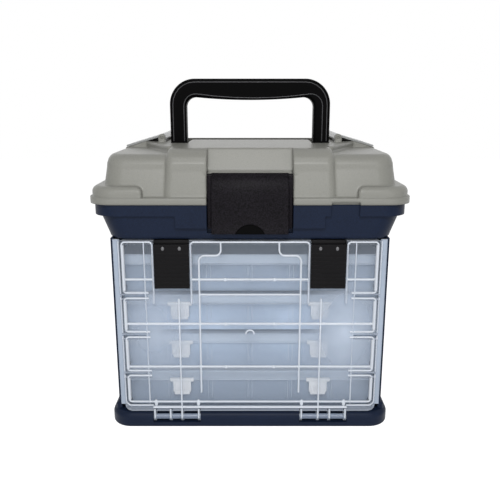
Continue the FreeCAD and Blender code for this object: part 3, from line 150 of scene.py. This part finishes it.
# Polypropylene, moulded with thinner walls in a duller tool: bluish and hazy, so things behind only glimmer.
trayPlastic = {"colour": "#b7c9e0", "edge": "#d2ddec", "solid": 0.4, "edgeSolid": 0.5, "rough": 0.22,
               "ior": 1.49, "rippleMm": 22, "bump": 0.12, "depthMm": 0.4, "cloud": (70, 112, 170, 84, 0.9)}
# The same polypropylene where lid and skirt lie double: paler and denser.
boxLidPlastic = {"colour": "#cbd8e8", "edge": "#dce5f1", "solid": 0.62, "edgeSolid": 0.64, "rough": 0.2,
                 "ior": 1.49, "rippleMm": 22, "bump": 0.12, "depthMm": 0.4, "cloud": (84, 116, 120, 90, 0.5)}
# Natural polypropylene, moulded thick: milky white, the lightest thing behind the door.
tabPlastic = {"colour": "#fafbfd", "edge": "#fdfdfe", "solid": 0.84, "edgeSolid": 0.88, "rough": 0.25,
              "ior": 1.49, "rippleMm": 10, "bump": 0.1, "depthMm": 0.2, "cloud": (0, 100, 260, 90, 0.0)}
# Polystyrene, moulded in a polished tool: glassy and grey with what lies under it.
coverPlastic = {"colour": "#8b8f92", "edge": "#8d8f8e", "solid": 0.82, "edgeSolid": 0.92, "rough": 0.12,
                "ior": 1.49, "rippleMm": 30, "bump": 0.1, "depthMm": 0.4, "cloud": (0, 300, 100, 100, 0.0)}
# Clarified polypropylene, moulded into thin ribs: they gather light and glow nearly white.
beadPlastic = {"colour": "#e6edf7", "edge": "#f1f5fb", "solid": 0.78, "edgeSolid": 0.82, "rough": 0.2,
               "ior": 1.49, "rippleMm": 20, "bump": 0.05, "depthMm": 0.2, "cloud": (90, 116, 62, 66, 0.2)}
# Smoked polypropylene, moulded as pins: dull blue grey against the dark base.
pinPlastic = {"colour": "#7d8aa0", "edge": "#9aa6b9", "solid": 0.7, "edgeSolid": 0.8, "rough": 0.25,
              "ior": 1.49, "rippleMm": 6, "bump": 0.1, "depthMm": 0.2, "cloud": (90, 11, 50, 20, 0.0)}

# A face counts as an edge below the first cosine and as broad above the second. The cloud reaches through
# the whole depth, which is why its half depth is a metre, and the ripple thins and thickens it.
wall = {"edgeBelow": 0.6, "broadAbove": 0.95, "detail": 1.0, "cloudDepth": 0.05, "cloudHalfDepth": 1.0,
        "thinnest": 0.7, "thickest": 1.3}


def clearPlastic(name, look, axis="Y"):
    # axis is the way the broad faces look
    material, tree = newMaterial(name)
    coord = addNode(tree, "ShaderNodeTexCoord")
    ripple = addNode(tree, "ShaderNodeTexNoise",
                     {"Scale": 1 / (look["rippleMm"] * mm), "Detail": wall["detail"]},
                     {"Vector": coord.outputs["Object"]}).outputs[0]
    bump = addNode(tree, "ShaderNodeBump", {"Strength": look["bump"], "Distance": look["depthMm"] * mm},
                   {"Height": ripple}).outputs[0]
    across = addNode(tree, "ShaderNodeSeparateXYZ", {}, {0: coord.outputs["Normal"]}).outputs[axis]
    facing = addNode(tree, "ShaderNodeMath", {"operation": "ABSOLUTE"}, {0: across}).outputs[0]
    onEdge = addNode(tree, "ShaderNodeMapRange",
                     {"From Min": wall["edgeBelow"], "From Max": wall["broadAbove"], "To Min": 1.0,
                      "To Max": 0.0}, {"Value": facing}).outputs[0]
    colour = addNode(tree, "ShaderNodeMix", {"data_type": "RGBA", 6: toLinear(look["colour"]),
                                             7: toLinear(look["edge"])}, {0: onEdge}).outputs[2]
    solid = addNode(tree, "ShaderNodeMapRange", {"To Min": look["solid"], "To Max": look["edgeSolid"]},
                    {"Value": onEdge}).outputs[0]
    far, high, halfWide, halfHigh, strength = look["cloud"]
    folded = addNode(tree, "ShaderNodeVectorMath", {"operation": "ABSOLUTE"},
                     {0: coord.outputs["Object"]}).outputs[0]
    centred = addNode(tree, "ShaderNodeMapping",
                      {"vector_type": "TEXTURE", "Location": (far * mm, wall["cloudDepth"], high * mm),
                       "Scale": (halfWide * mm, wall["cloudHalfDepth"], halfHigh * mm)},
                      {"Vector": folded}).outputs[0]
    cloud = addNode(tree, "ShaderNodeTexGradient", {"gradient_type": "QUADRATIC_SPHERE"},
                    {"Vector": centred}).outputs[1]
    # the door's patches, stronger on the right, are partly painted reflection of the light
    if "hazeAndReflectionLean" in look:
        leftward, rightward = look["hazeAndReflectionLean"]
        sideways = addNode(tree, "ShaderNodeSeparateXYZ", {}, {0: coord.outputs["Object"]}).outputs["X"]
        lean = addNode(tree, "ShaderNodeMapRange",
                       {"From Min": -far * mm, "From Max": far * mm, "To Min": leftward, "To Max": rightward},
                       {"Value": sideways}).outputs[0]
        cloud = addNode(tree, "ShaderNodeMath", {"operation": "MULTIPLY"}, {0: cloud, 1: lean}).outputs[0]
    uneven = addNode(tree, "ShaderNodeMapRange", {"To Min": wall["thinnest"] * strength,
                                                  "To Max": wall["thickest"] * strength},
                     {"Value": ripple}).outputs[0]
    clouded = addNode(tree, "ShaderNodeMath", {"operation": "MULTIPLY_ADD", "use_clamp": True},
                      {0: cloud, 1: uneven, 2: solid}).outputs[0]
    if "flange" in look:
        start, full, margin = look["flange"]
        outward = addNode(tree, "ShaderNodeSeparateXYZ", {}, {0: folded}).outputs["X"]
        thick = addNode(tree, "ShaderNodeMapRange", {"From Min": start * mm, "From Max": full * mm,
                                                     "To Max": margin}, {"Value": outward}).outputs[0]
        clouded = addNode(tree, "ShaderNodeMath", {"operation": "ADD", "use_clamp": True},
                          {0: clouded, 1: thick}).outputs[0]
    skin = addNode(tree, "ShaderNodeBsdfPrincipled", {"IOR": look["ior"], "Roughness": look["rough"]},
                   {"Base Color": colour, "Alpha": clouded, "Normal": bump}).outputs[0]
    addNode(tree, "ShaderNodeOutputMaterial", {}, {"Surface": skin})
    return material


# Steel wire, cold drawn through a die: a bright grey with patches that the drawing left a little duller.
steelRod = {"colour": "#9c9da0", "patchMm": 1.5, "rough": 0.3, "duller": 0.15}


def drawnSteel(name, look):
    material, tree = newMaterial(name)
    place = addNode(tree, "ShaderNodeTexCoord").outputs["Object"]
    patches = addNode(tree, "ShaderNodeTexNoise", {"Scale": 1 / (look["patchMm"] * mm)},
                      {"Vector": place}).outputs[0]
    rough = addNode(tree, "ShaderNodeMapRange",
                    {"To Min": look["rough"], "To Max": look["rough"] + look["duller"]},
                    {"Value": patches}).outputs[0]
    skin = addNode(tree, "ShaderNodeBsdfPrincipled",
                   {"Base Color": toLinear(look["colour"]), "Metallic": 1.0}, {"Roughness": rough}).outputs[0]
    addNode(tree, "ShaderNodeOutputMaterial", {}, {"Surface": skin})
    return material


materials = {
    "navy": mouldedPlastic("navyMouldedPolypropylene", navyPlastic),
    "grey": mouldedPlastic("greyMouldedPolypropylene", greyPlastic),
    "handle": mouldedPlastic("blackMouldedNylon", handlePlastic),
    "latch": mouldedPlastic("blackGrainedAcetal", latchPlastic),
    "slide": mouldedPlastic("blackMouldedAcetal", slidePlastic),
    "knobGlint": mouldedPlastic("acetalKnobsPaintedHighlight", knobGlintPlastic),
    "door": clearPlastic("clearMouldedDoorPolypropylene", doorPlastic),
    "rim": mouldedPlastic("blackNylonEdgesPaintedHighlight", rimHighlightPlastic),
    "tray": clearPlastic("clearMouldedTrayPolypropylene", trayPlastic),
    "boxLid": clearPlastic("clearMouldedBoxLidPolypropylene", boxLidPlastic),
    "tab": clearPlastic("milkyMouldedTabPolypropylene", tabPlastic),
    "pin": clearPlastic("smokedMouldedHingePins", pinPlastic),
    "cover": clearPlastic("clearMouldedCoverStyrene", coverPlastic, "Z"),
    "bead": clearPlastic("clearMouldedRibEdges", beadPlastic),
    "steel": drawnSteel("drawnSteelRod", steelRod),
}

finishes = {
    "navy": ["base", "rack", "upper_tray"],
    "grey": ["lid", "cover_pin_left", "cover_pin_right"],
    "handle": ["handle", "handle_pins"],
    "latch": ["main_latch", "main_latch_pin"],
    "slide": ["door_latch_left", "door_latch_right"],
    "door": ["door"],
    "cover": ["cover_left", "cover_right"],
    "steel": ["lid_hinge_rod"],
    "pin": ["door_hinge_pins"],
    "tray": [f"box_{n}_{piece}" for n in boxNumbers for piece in ("tray", "dividers")],
    "boxLid": [f"box_{n}_lid" for n in boxNumbers],
    "tab": [f"box_{n}_latches" for n in boxNumbers],
}
for finish, names in finishes.items():
    for name in names:
        slots = nodes[name].data.materials
        slots.clear()
        slots.append(materials[finish])
print("materials set")

creaseDegrees = 32  # edges bent further than this stay sharp


def toMesh(name, form):
    mesh = bpy.data.meshes.new(name)
    form.to_mesh(mesh)
    form.free()
    return mesh


def addObject(name, data):
    added = bpy.data.objects.new(name, data)
    bpy.context.collection.objects.link(added)
    return added


def keepPiece(name, form, finish, body):
    # the finished mesh becomes an object at the origin that rides on its body
    bmesh.ops.recalc_face_normals(form, faces=form.faces)
    mesh = toMesh(name, form)
    for face in mesh.polygons:
        face.use_smooth = True
    mesh.set_sharp_from_angle(angle=math.radians(creaseDegrees))
    mesh.materials.append(materials[finish])
    piece = addObject(name, mesh)
    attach(piece, body)
    return piece


beadRound = {"sides": 10, "cornerSteps": 6}


def addBead(form, start, turnFrom, moves, radius, flat=1.0):
    # a rounded bead on an upright face: extruded along each run and spun round each corner
    # start is (x, y, z), and turnFrom the first heading in degrees from +X towards +Z
    # a move is a length, or (radius, degrees) for a corner
    heading = math.radians(turnFrom)
    made = bmesh.ops.create_circle(form, cap_ends=True, segments=beadRound["sides"], radius=radius)
    around = Vector((math.cos(heading), 0, math.sin(heading)))
    turn = Vector((0, 0, 1)).rotation_difference(around).to_matrix().to_4x4()
    bmesh.ops.transform(form, matrix=turn, verts=made["verts"])
    bmesh.ops.scale(form, vec=(1, flat, 1), verts=made["verts"])
    bmesh.ops.translate(form, vec=start, verts=made["verts"])
    cap = list({face for vert in made["verts"] for face in vert.link_faces})
    end = cap
    here = Vector(start)
    for move in moves:
        last = end
        if isinstance(move, tuple):
            bend, degrees = move
            sign = 1 if degrees > 0 else -1
            sideways = Vector((-math.sin(heading), 0, math.cos(heading))) * sign
            centre = here + sideways * bend
            angle = math.radians(degrees)
            done = bmesh.ops.spin(form, geom=end, cent=centre, axis=(0, 1, 0), dvec=(0, 0, 0), angle=-angle,
                                  steps=beadRound["cornerSteps"], use_merge=False, use_normal_flip=False,
                                  use_duplicate=False)
            end = [item for item in done["geom_last"] if isinstance(item, bmesh.types.BMFace)]
            here = centre + Matrix.Rotation(-angle, 3, "Y") @ (here - centre)
            heading += angle
        else:
            step = Vector((math.cos(heading), 0, math.sin(heading))) * move
            done = bmesh.ops.extrude_face_region(form, geom=end)
            end = [item for item in done["geom"] if isinstance(item, bmesh.types.BMFace)]
            bmesh.ops.translate(form, vec=step, verts=list({v for face in end for v in face.verts}))
            here += step
        if last is not cap:  # the first face closes the bead's start, the others would lie inside it
            bmesh.ops.delete(form, geom=last, context="FACES_ONLY")


def addNub(form, place, radius, flat=0.6, tall=1.0):
    made = bmesh.ops.create_uvsphere(form, u_segments=12, v_segments=8, radius=radius)
    bmesh.ops.scale(form, vec=(1, flat, tall), verts=made["verts"])
    bmesh.ops.translate(form, vec=place, verts=made["verts"])


# Millimetres. Distances across are from the middle, and each size is a share of the bead's radius.
doorBeads = {"face": -113.0, "radius": 0.95, "flat": 1.35, "outer": 133.6, "lineEnd": 107.5, "upright": 110.8,
             "corner": 3.0, "rows": ((29.6, 61.0), (66.8, 105.9), (112.1, 150.0), (156.0, 211.3)),
             "outerIn": 0.6, "outerSize": 1.9, "rim": 137.2, "rimSize": 0.8, "rimPast": 1.0,
             "uprightSize": 0.75, "inner": 53.5, "innerLow": 41.0, "step": 196.8, "stepCorner": 6.0,
             "middle": 30.5, "top": 211.3, "strongSize": 1.1, "levels": (71.6, 121.3), "upperLevel": 170.9,
             "levelReach": 131.5, "levelSize": 1.25, "short": 154.2, "finger": 75.6, "fingerLow": 20.0,
             "fingerHigh": 149.4, "bayNear": 62.0, "bayFar": 102.0, "bayLow": 144.5, "bayCorner": 3.5,
             "bayTail": 4.0, "foot": 22.8, "footReach": 107.0, "lowEdge": 25.2, "lowCorner": 6.0,
             "nubX": 26.0, "nub": 1.9, "ringZ": 109.6, "ring": 4.5, "ringSize": 0.9,
             "toes": (57.0, 75.4, 88.2, 105.6), "toeFace": -115.1, "toeLow": 10.5, "toeHigh": 21.0,
             "drops": (57.2, 104.0), "dropZ": 28.0, "dropFlat": 0.7, "dropTall": 2.2, "lap": 0.4}


def makeDoorBeads(look):
    form = bmesh.new()

    def bead(x, z, heading, moves, size=1.0, face=look["face"]):
        scaled = [(move[0] * mm, move[1]) if isinstance(move, tuple) else move * mm for move in moves]
        addBead(form, (x * mm, face * mm, z * mm), heading, scaled, look["radius"] * size * mm, look["flat"])

    corner = look["corner"]
    bottom = look["rows"][0][0]
    for side in sides.values():
        outward = 0 if side > 0 else 180
        # the bracket round each row's end, its thick outer edge and the door's rim beside it
        for n, (low, high) in enumerate(look["rows"]):
            wide = look["outer"] - look["lineEnd"] - corner
            tall = high - low - 2 * corner
            quarter = (corner, 90 * side)
            bead(side * look["lineEnd"], low, outward, [wide, quarter, tall, quarter, wide])
            bead(side * (look["outer"] - look["outerIn"]), low + corner, 90, [tall], look["outerSize"])
            edgeLow = look["lowEdge"] + look["lowCorner"] if n == 0 else low - look["rimPast"]
            bead(side * look["rim"], edgeLow, 90, [high + look["rimPast"] - edgeLow], look["rimSize"])
        bead(side * look["upright"], bottom, 90, [look["top"] - bottom], look["uprightSize"])
        # the middle panel's edge, which steps in near its top
        rise = look["step"] - look["innerLow"] - look["stepCorner"]
        across = look["inner"] - look["middle"] - 2 * look["stepCorner"]
        bead(side * look["inner"], look["innerLow"], 90,
             [rise, (look["stepCorner"], 90 * side), across, (look["stepCorner"], -90 * side),
              look["top"] - look["step"] - look["stepCorner"]], look["strongSize"])
        bead(side * look["finger"], look["fingerLow"], 90, [look["fingerHigh"] - look["fingerLow"]])
        # the bay round the slide latch
        bayRise = look["top"] - look["bayLow"] - look["bayCorner"]
        inward = look["bayNear"] - look["bayCorner"] + look["lap"]
        bead(side * look["bayNear"], look["bayLow"], 90, [bayRise, (look["bayCorner"], 90 * side), inward],
             look["strongSize"])
        bead(side * look["bayFar"], look["bayLow"], 90,
             [bayRise, (look["bayCorner"], -90 * side), look["bayTail"]], look["strongSize"])
        bead(side * look["bayNear"], look["upperLevel"], 180 - outward, [look["bayNear"] + look["lap"]],
             look["levelSize"])
        bead(side * look["bayFar"], look["upperLevel"], outward, [look["levelReach"] - look["bayFar"]],
             look["levelSize"])
        # the lower corner, the nubs, and the toes and drops over the hinge
        bead(side * look["footReach"], look["lowEdge"], outward,
             [look["rim"] - look["footReach"] - look["lowCorner"], (look["lowCorner"], 90 * side)],
             look["rimSize"])
        for z in look["levels"] + (look["upperLevel"],):
            addNub(form, (side * look["nubX"] * mm, (look["face"] - look["radius"]) * mm, z * mm),
                   look["nub"] * mm)
        for x in look["toes"]:
            bead(side * x, look["toeLow"], 90, [look["toeHigh"] - look["toeLow"]], look["strongSize"],
                 look["toeFace"])
        for x in look["drops"]:
            addNub(form, (side * x * mm, look["face"] * mm, look["dropZ"] * mm), look["nub"] * mm,
                   look["dropFlat"], look["dropTall"])
    # the beads that run straight across, and the small hook in the middle
    for z in look["levels"]:
        bead(-look["levelReach"], z, 0, [2 * look["levelReach"]], look["levelSize"])
    bead(-look["inner"], look["short"], 0, [2 * look["inner"]])
    lineHalf = look["lineEnd"] + look["lap"]
    footHalf = look["footReach"] + look["lap"]
    bead(-lineHalf, bottom, 0, [2 * lineHalf])
    bead(-footHalf, look["foot"], 0, [2 * footHalf], look["levelSize"])
    bead(look["ring"], look["ringZ"], 90, [(look["ring"], 180)], look["ringSize"])
    return keepPiece("doorRibEdges", form, "bead", "door")


makeDoorBeads(doorBeads)

blockEdges = {"segments": 2, "profile": 0.5, "material": -1}


def addBlock(form, low, high, bevelMm=0.0):
    # a block between two corners in millimetres, with its edges rounded
    made = bmesh.ops.create_cube(form, size=1.0)
    size = [(high[k] - low[k]) * mm for k in range(3)]
    bmesh.ops.scale(form, vec=size, verts=made["verts"])
    bmesh.ops.translate(form, vec=[(high[k] + low[k]) / 2 * mm for k in range(3)], verts=made["verts"])
    if bevelMm:
        edges = list({edge for vert in made["verts"] for edge in vert.link_edges})
        bmesh.ops.bevel(form, geom=edges, offset=bevelMm * mm, affect="EDGES", **blockEdges)


# low is the lowest box's floor and pitch the way up to the next one. Heights are from a box's floor
boxBeads = {"front": -97.2, "half": 134.0, "radius": 0.6, "low": 17.8, "pitch": 45.0, "top": 40.6,
            "skirt": 30.6, "ribs": (-92.2, -87.8, -47.2, -42.8, -2.2, 2.2, 42.8, 47.2, 87.8, 92.2),
            "ribLow": 8.0, "ribRadius": 0.4, "ribFront": -95.0}


def makeBoxBeads(look, n):
    form = bmesh.new()
    low = look["low"] + (n - 1) * look["pitch"]
    for z in (look["top"], look["skirt"]):
        addBead(form, (-look["half"] * mm, look["front"] * mm, (low + z) * mm), 0, [2 * look["half"] * mm],
                look["radius"] * mm)
    for x in look["ribs"]:
        addBead(form, (x * mm, look["ribFront"] * mm, (low + look["ribLow"]) * mm), 90,
                [(look["skirt"] - look["ribLow"]) * mm], look["ribRadius"] * mm)
    return keepPiece(f"boxRibEdges_{n}", form, "boxLid", f"box_{n}")


# each latch is a bar, a body and a foot: (half width, low, high, how far it stands out)
boxTabs = {"middle": 76.5, "front": -99.6, "back": -96.8, "bevel": 0.5,
           "steps": ((13.3, 29.4, 33.2, 0.8), (10.0, 16.5, 29.6, 0.0), (8.6, 13.5, 16.8, 0.5)),
           "rib": 0.5, "ribs": 7, "ribPitch": 2.6, "ribLow": 16.5, "ribHigh": 29.6}


def makeBoxTabs(look, n):
    form = bmesh.new()
    low = boxBeads["low"] + (n - 1) * boxBeads["pitch"]
    for side in sides.values():
        middle = side * look["middle"]
        for half, bottom, top, stand in look["steps"]:
            addBlock(form, (middle - half, look["front"] - stand, low + bottom),
                     (middle + half, look["back"], low + top), look["bevel"])
        for k in range(look["ribs"]):
            x = middle + (k - (look["ribs"] - 1) / 2) * look["ribPitch"]
            addBead(form, (x * mm, look["front"] * mm, (low + look["ribLow"]) * mm), 90,
                    [(look["ribHigh"] - look["ribLow"]) * mm], look["rib"] * mm)
    tabs = keepPiece(f"boxTabs_{n}", form, "tab", f"box_{n}")
    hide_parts(f"box_{n}_latches")
    return tabs


for n in boxNumbers:
    makeBoxBeads(boxBeads, n)
    makeBoxTabs(boxTabs, n)
print("door and box ribs made")

# profile is the curve of the face as (y, z), from the lip up to the pin
# the cheek blocks beside the latch are painted shade: black blocks in a gap that is only dark from shadow
mainLatch = {"half": 39.3, "wall": 2.4, "shadeBlockNear": 39.0, "shadeBlockFar": 43.6, "shadeBlockFront": -115.5,
             "shadeBlockBack": -110.3, "shadeBlockLow": 226.0, "shadeBlockHigh": 280.5, "thumb": 16.5, "thumbTall": 8.0,
             "thumbSides": 64, "lean": 14.0, "thumbPlace": (0.0, -127.6, 216.2), "bevel": 0.7,
             "borderAngle": 1.2,
             "profile": ((-124.0, 222.0), (-123.0, 225.5), (-121.4, 231.0), (-120.5, 238.0), (-120.1, 246.0),
                         (-119.9, 256.0), (-119.4, 263.0), (-118.0, 269.0), (-115.6, 274.5), (-112.3, 279.4),
                         (-108.4, 282.9))}


def makeThumbCutter(look):
    # a leaning disc that cuts the hollow for the thumb
    form = bmesh.new()
    made = bmesh.ops.create_cone(form, cap_ends=True, segments=look["thumbSides"], radius1=look["thumb"] * mm,
                                 radius2=look["thumb"] * mm, depth=look["thumbTall"] * mm)
    leaning = Matrix.Rotation(math.radians(90 - look["lean"]), 3, "X")
    bmesh.ops.rotate(form, verts=made["verts"], matrix=leaning)
    bmesh.ops.translate(form, vec=[part * mm for part in look["thumbPlace"]], verts=made["verts"])
    mesh = toMesh("thumbCutter", form)
    # the handle's darker finish goes onto the hollow's faces: painted shade
    mesh.materials.append(materials["handle"])
    return addObject("thumbCutter", mesh)


def makeMainLatch(look):
    form = bmesh.new()
    corners = [form.verts.new((-look["half"] * mm, y * mm, z * mm)) for y, z in look["profile"]]
    for first, second in zip(corners, corners[1:]):
        form.edges.new((first, second))
    done = bmesh.ops.extrude_edge_only(form, edges=form.edges[:])
    moved = [item for item in done["geom"] if isinstance(item, bmesh.types.BMVert)]
    bmesh.ops.translate(form, vec=(2 * look["half"] * mm, 0, 0), verts=moved)
    bmesh.ops.recalc_face_normals(form, faces=form.faces)
    if form.faces[0].normal.y > 0:
        bmesh.ops.reverse_faces(form, faces=form.faces)
    bmesh.ops.solidify(form, geom=form.faces[:], thickness=look["wall"] * mm)
    border = [edge for edge in form.edges if edge.calc_face_angle(0) > look["borderAngle"]]
    bmesh.ops.bevel(form, geom=border, offset=look["bevel"] * mm, affect="EDGES", segments=3, profile=0.5,
                    material=-1)
    # black blocks in the gaps beside the latch, in the latch's finish: painted shade where the recess is only
    # in shadow
    for side in sides.values():
        near, far = sorted((side * look["shadeBlockNear"], side * look["shadeBlockFar"]))
        addBlock(form, (near, look["shadeBlockFront"], look["shadeBlockLow"]),
                 (far, look["shadeBlockBack"], look["shadeBlockHigh"]), look["bevel"])
    latch = keepPiece("mainLatchFace", form, "latch", "main_latch")
    cutter = makeThumbCutter(look)
    # The black shade blocks overlap the face, and in about one build of fourteen one of them is missing after
    # the cut.
    cut = latch.modifiers.new("thumbHollow", "BOOLEAN")
    cut.object = cutter
    cut.solver = "EXACT"
    cut.material_mode = "TRANSFER"  # the hollow takes the handle's darker, smoother finish: painted shade inside the hollow
    graph = bpy.context.evaluated_depsgraph_get()
    hollowed = bpy.data.meshes.new_from_object(latch.evaluated_get(graph))
    latch.modifiers.remove(cut)
    latch.data = hollowed
    bpy.data.objects.remove(cutter)
    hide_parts("main_latch")
    return latch


makeMainLatch(mainLatch)

# The walls of the latch recess end in square corners that stand out of the leaning face beside them.
lidSkin = {"face": -110.0, "top": 284.0, "setBack": 3.0, "close": 0.001}


def makeLidSkin(look):
    # the lid's own mesh and shading, welded, with those corners laid back into the leaning face
    source = nodes["lid"].data
    form = bmesh.new()
    form.from_mesh(source)
    kept = form.loops.layers.float_vector.new("kept")
    loops = [loop for face in form.faces for loop in face.loops]
    for loop, corner in zip(loops, source.corner_normals):
        loop[kept] = corner.vector
    proud = [vert for vert in form.verts if abs(vert.co.y - look["face"] * mm) < look["close"] * mm
             and abs(vert.co.z - look["top"] * mm) < look["close"] * mm]
    bmesh.ops.translate(form, vec=(0, look["setBack"] * mm, 0), verts=proud)
    for face in {face for vert in proud for face in vert.link_faces}:
        face.normal_update()
        for loop in face.loops:
            loop[kept] = face.normal
    bmesh.ops.remove_doubles(form, verts=form.verts, dist=look["close"] * mm)
    skin = keepPiece("lidSkin", form, "grey", "lid")
    normals = skin.data.attributes["kept"]
    skin.data.normals_split_custom_set([item.vector for item in normals.data])
    skin.data.attributes.remove(normals)
    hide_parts("lid")
    return skin


makeLidSkin(lidSkin)
print("main latch and lid made")

slideHood = {"middle": 81.8, "half": 18.1, "front": -112.8, "back": -108.4, "low": 206.0, "high": 213.5,
             "bevel": 0.4}


def makeSlideHood(look, sideName, side):
    form = bmesh.new()
    middle = side * look["middle"]
    addBlock(form, (middle - look["half"], look["front"], look["low"]),
             (middle + look["half"], look["back"], look["high"]), look["bevel"])
    return keepPiece(f"slideHood_{sideName}", form, "slide", f"door_latch_{sideName}")


slideKnobs = {"middle": 81.8, "apart": 8.7, "face": -116.8, "z": 205.2, "radius": 1.7, "flat": 0.6,
              "tall": 1.3}


def makeSlideKnobs(look, sideName, side):
    form = bmesh.new()
    middle = side * look["middle"]
    for shift in (-look["apart"], look["apart"]):
        addNub(form, ((middle + shift) * mm, look["face"] * mm, look["z"] * mm), look["radius"] * mm,
               look["flat"], look["tall"])
    # the knobs take the pale finish: painted highlight on the black bumps
    return keepPiece(f"slideKnobs_{sideName}", form, "knobGlint", f"door_latch_{sideName}")


for sideName, side in sides.items():
    makeSlideHood(slideHood, sideName, side)
    makeSlideKnobs(slideKnobs, sideName, side)

# inner and outer are the legs' edges from the middle, and dip is how steeply the grip's underside
# falls away from its corners, in degrees
handleRims = {"foot": 308.0, "faceIn": 0.1, "radius": 0.55, "flat": 0.8, "inner": 76.1, "innerTop": 361.2,
              "innerCorner": 13.6, "dip": 7.7, "outer": 88.6, "outerTop": 374.3, "outerCorner": 25.1}


def makeHandleRims(look):
    form = bmesh.new()
    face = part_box("handle")[0][1] + look["faceIn"] * mm
    corner = look["innerCorner"]
    dip = math.radians(look["dip"])
    legRise = look["innerTop"] - look["foot"] - corner
    span = 2 * (look["inner"] - corner)
    hang = (span / 2 + corner * math.sin(dip)) / math.sin(dip)  # the radius of the underside's long curve
    moves = [legRise * mm, (corner * mm, -90 - look["dip"]), (hang * mm, 2 * look["dip"]),
             (corner * mm, -90 - look["dip"]), legRise * mm]
    addBead(form, (-look["inner"] * mm, face, look["foot"] * mm), 90, moves, look["radius"] * mm,
            look["flat"])
    corner = look["outerCorner"]
    legRise = look["outerTop"] - look["foot"] - corner
    moves = [legRise * mm, (corner * mm, -90), 2 * (look["outer"] - corner) * mm, (corner * mm, -90),
             legRise * mm]
    addBead(form, (-look["outer"] * mm, face, look["foot"] * mm), 90, moves, look["radius"] * mm,
            look["flat"])
    # the rim beads take the lighter finish: painted highlight along the handle's edges
    return keepPiece("handleRims", form, "rim", "handle")


makeHandleRims(handleRims)
print("slide latches and handle dressed")

# Matt paper: a plain pale floor that keeps the soft shadow. floorLift is the white that it is seen with.
studio = {"floorColour": "#f4f4f4", "floorHalf": 3.0, "floorLift": 0.84, "skyStrength": 0.2}


def seenDirectly(tree):
    # 1 where the eye, a reflection or a clear wall looks at it, and 0 where it only lights other things
    path = addNode(tree, "ShaderNodeLightPath")
    sight = path.outputs["Is Camera Ray"]
    for kind in ("Is Glossy Ray", "Is Transmission Ray"):
        sight = addNode(tree, "ShaderNodeMath", {"operation": "MAXIMUM"},
                        {0: sight, 1: path.outputs[kind]}).outputs[0]
    return sight


def makeFloor(look):
    form = bmesh.new()
    bmesh.ops.create_grid(form, x_segments=1, y_segments=1, size=look["floorHalf"])
    mesh = toMesh("floor", form)
    floor = addObject("floor", mesh)
    material, tree = newMaterial("paperBackdrop")
    sight = seenDirectly(tree)
    paper = addNode(tree, "ShaderNodeBsdfDiffuse", {"Color": toLinear(look["floorColour"])})
    lift = addNode(tree, "ShaderNodeMath", {"operation": "MULTIPLY", 1: look["floorLift"]}, {0: sight})
    glow = addNode(tree, "ShaderNodeEmission", {"Color": (1, 1, 1, 1)}, {"Strength": lift.outputs[0]})
    seen = addNode(tree, "ShaderNodeAddShader", {}, {0: paper.outputs[0], 1: glow.outputs[0]})
    addNode(tree, "ShaderNodeOutputMaterial", {}, {"Surface": seen.outputs[0]})
    mesh.materials.append(material)
    return floor


def makeSky(look):
    world = bpy.data.worlds.new("studioSky")
    bpy.context.scene.world = world
    world.use_nodes = True
    tree = world.node_tree
    tree.nodes.clear()
    sight = seenDirectly(tree)
    lamp = addNode(tree, "ShaderNodeBackground", {"Color": (1, 1, 1, 1), "Strength": look["skyStrength"]})
    white = addNode(tree, "ShaderNodeBackground", {"Color": (1, 1, 1, 1), "Strength": 1.0})
    seen = addNode(tree, "ShaderNodeMixShader", {}, {0: sight, 1: lamp.outputs[0], 2: white.outputs[0]})
    addNode(tree, "ShaderNodeOutputWorld", {}, {"Surface": seen.outputs[0]})


# Metres and watts: a small lamp high in front for the lid's brow, and a wide dim one for upright faces.
lamps = {"topLamp": {"place": (0, -1.18, 1.22), "target": (0, 0, 0.25), "size": (0.6, 0.25), "power": 12},
         "frontLamp": {"place": (0, -2.0, 0.5), "target": (0, 0, 0.2), "size": (2.8, 0.9), "power": 13.5}}


def addLamp(name, look):
    data = bpy.data.lights.new(name, "AREA")
    data.shape = "RECTANGLE"
    data.size, data.size_y = look["size"]
    data.energy = look["power"]
    lamp = addObject(name, data)
    lamp.location = look["place"]
    ray = Vector(look["target"]) - Vector(look["place"])
    lamp.rotation_euler = ray.to_track_quat("-Z", "Y").to_euler()
    return lamp


cameraLook = {"place": (0.0, -0.719, 0.354), "tilt": 76.0, "lens": 43.2, "sensor": 36.0}


def addCamera(look):
    data = bpy.data.cameras.new("camera")
    data.lens = look["lens"]
    data.sensor_width = look["sensor"]
    camera = addObject("camera", data)
    camera.location = look["place"]
    camera.rotation_euler = (math.radians(look["tilt"]), 0, 0)
    bpy.context.scene.camera = camera


makeFloor(studio)
makeSky(studio)
for name, look in lamps.items():
    addLamp(name, look)
addCamera(cameraLook)
bpy.context.scene.view_settings.view_transform = "Standard"
print("studio set")
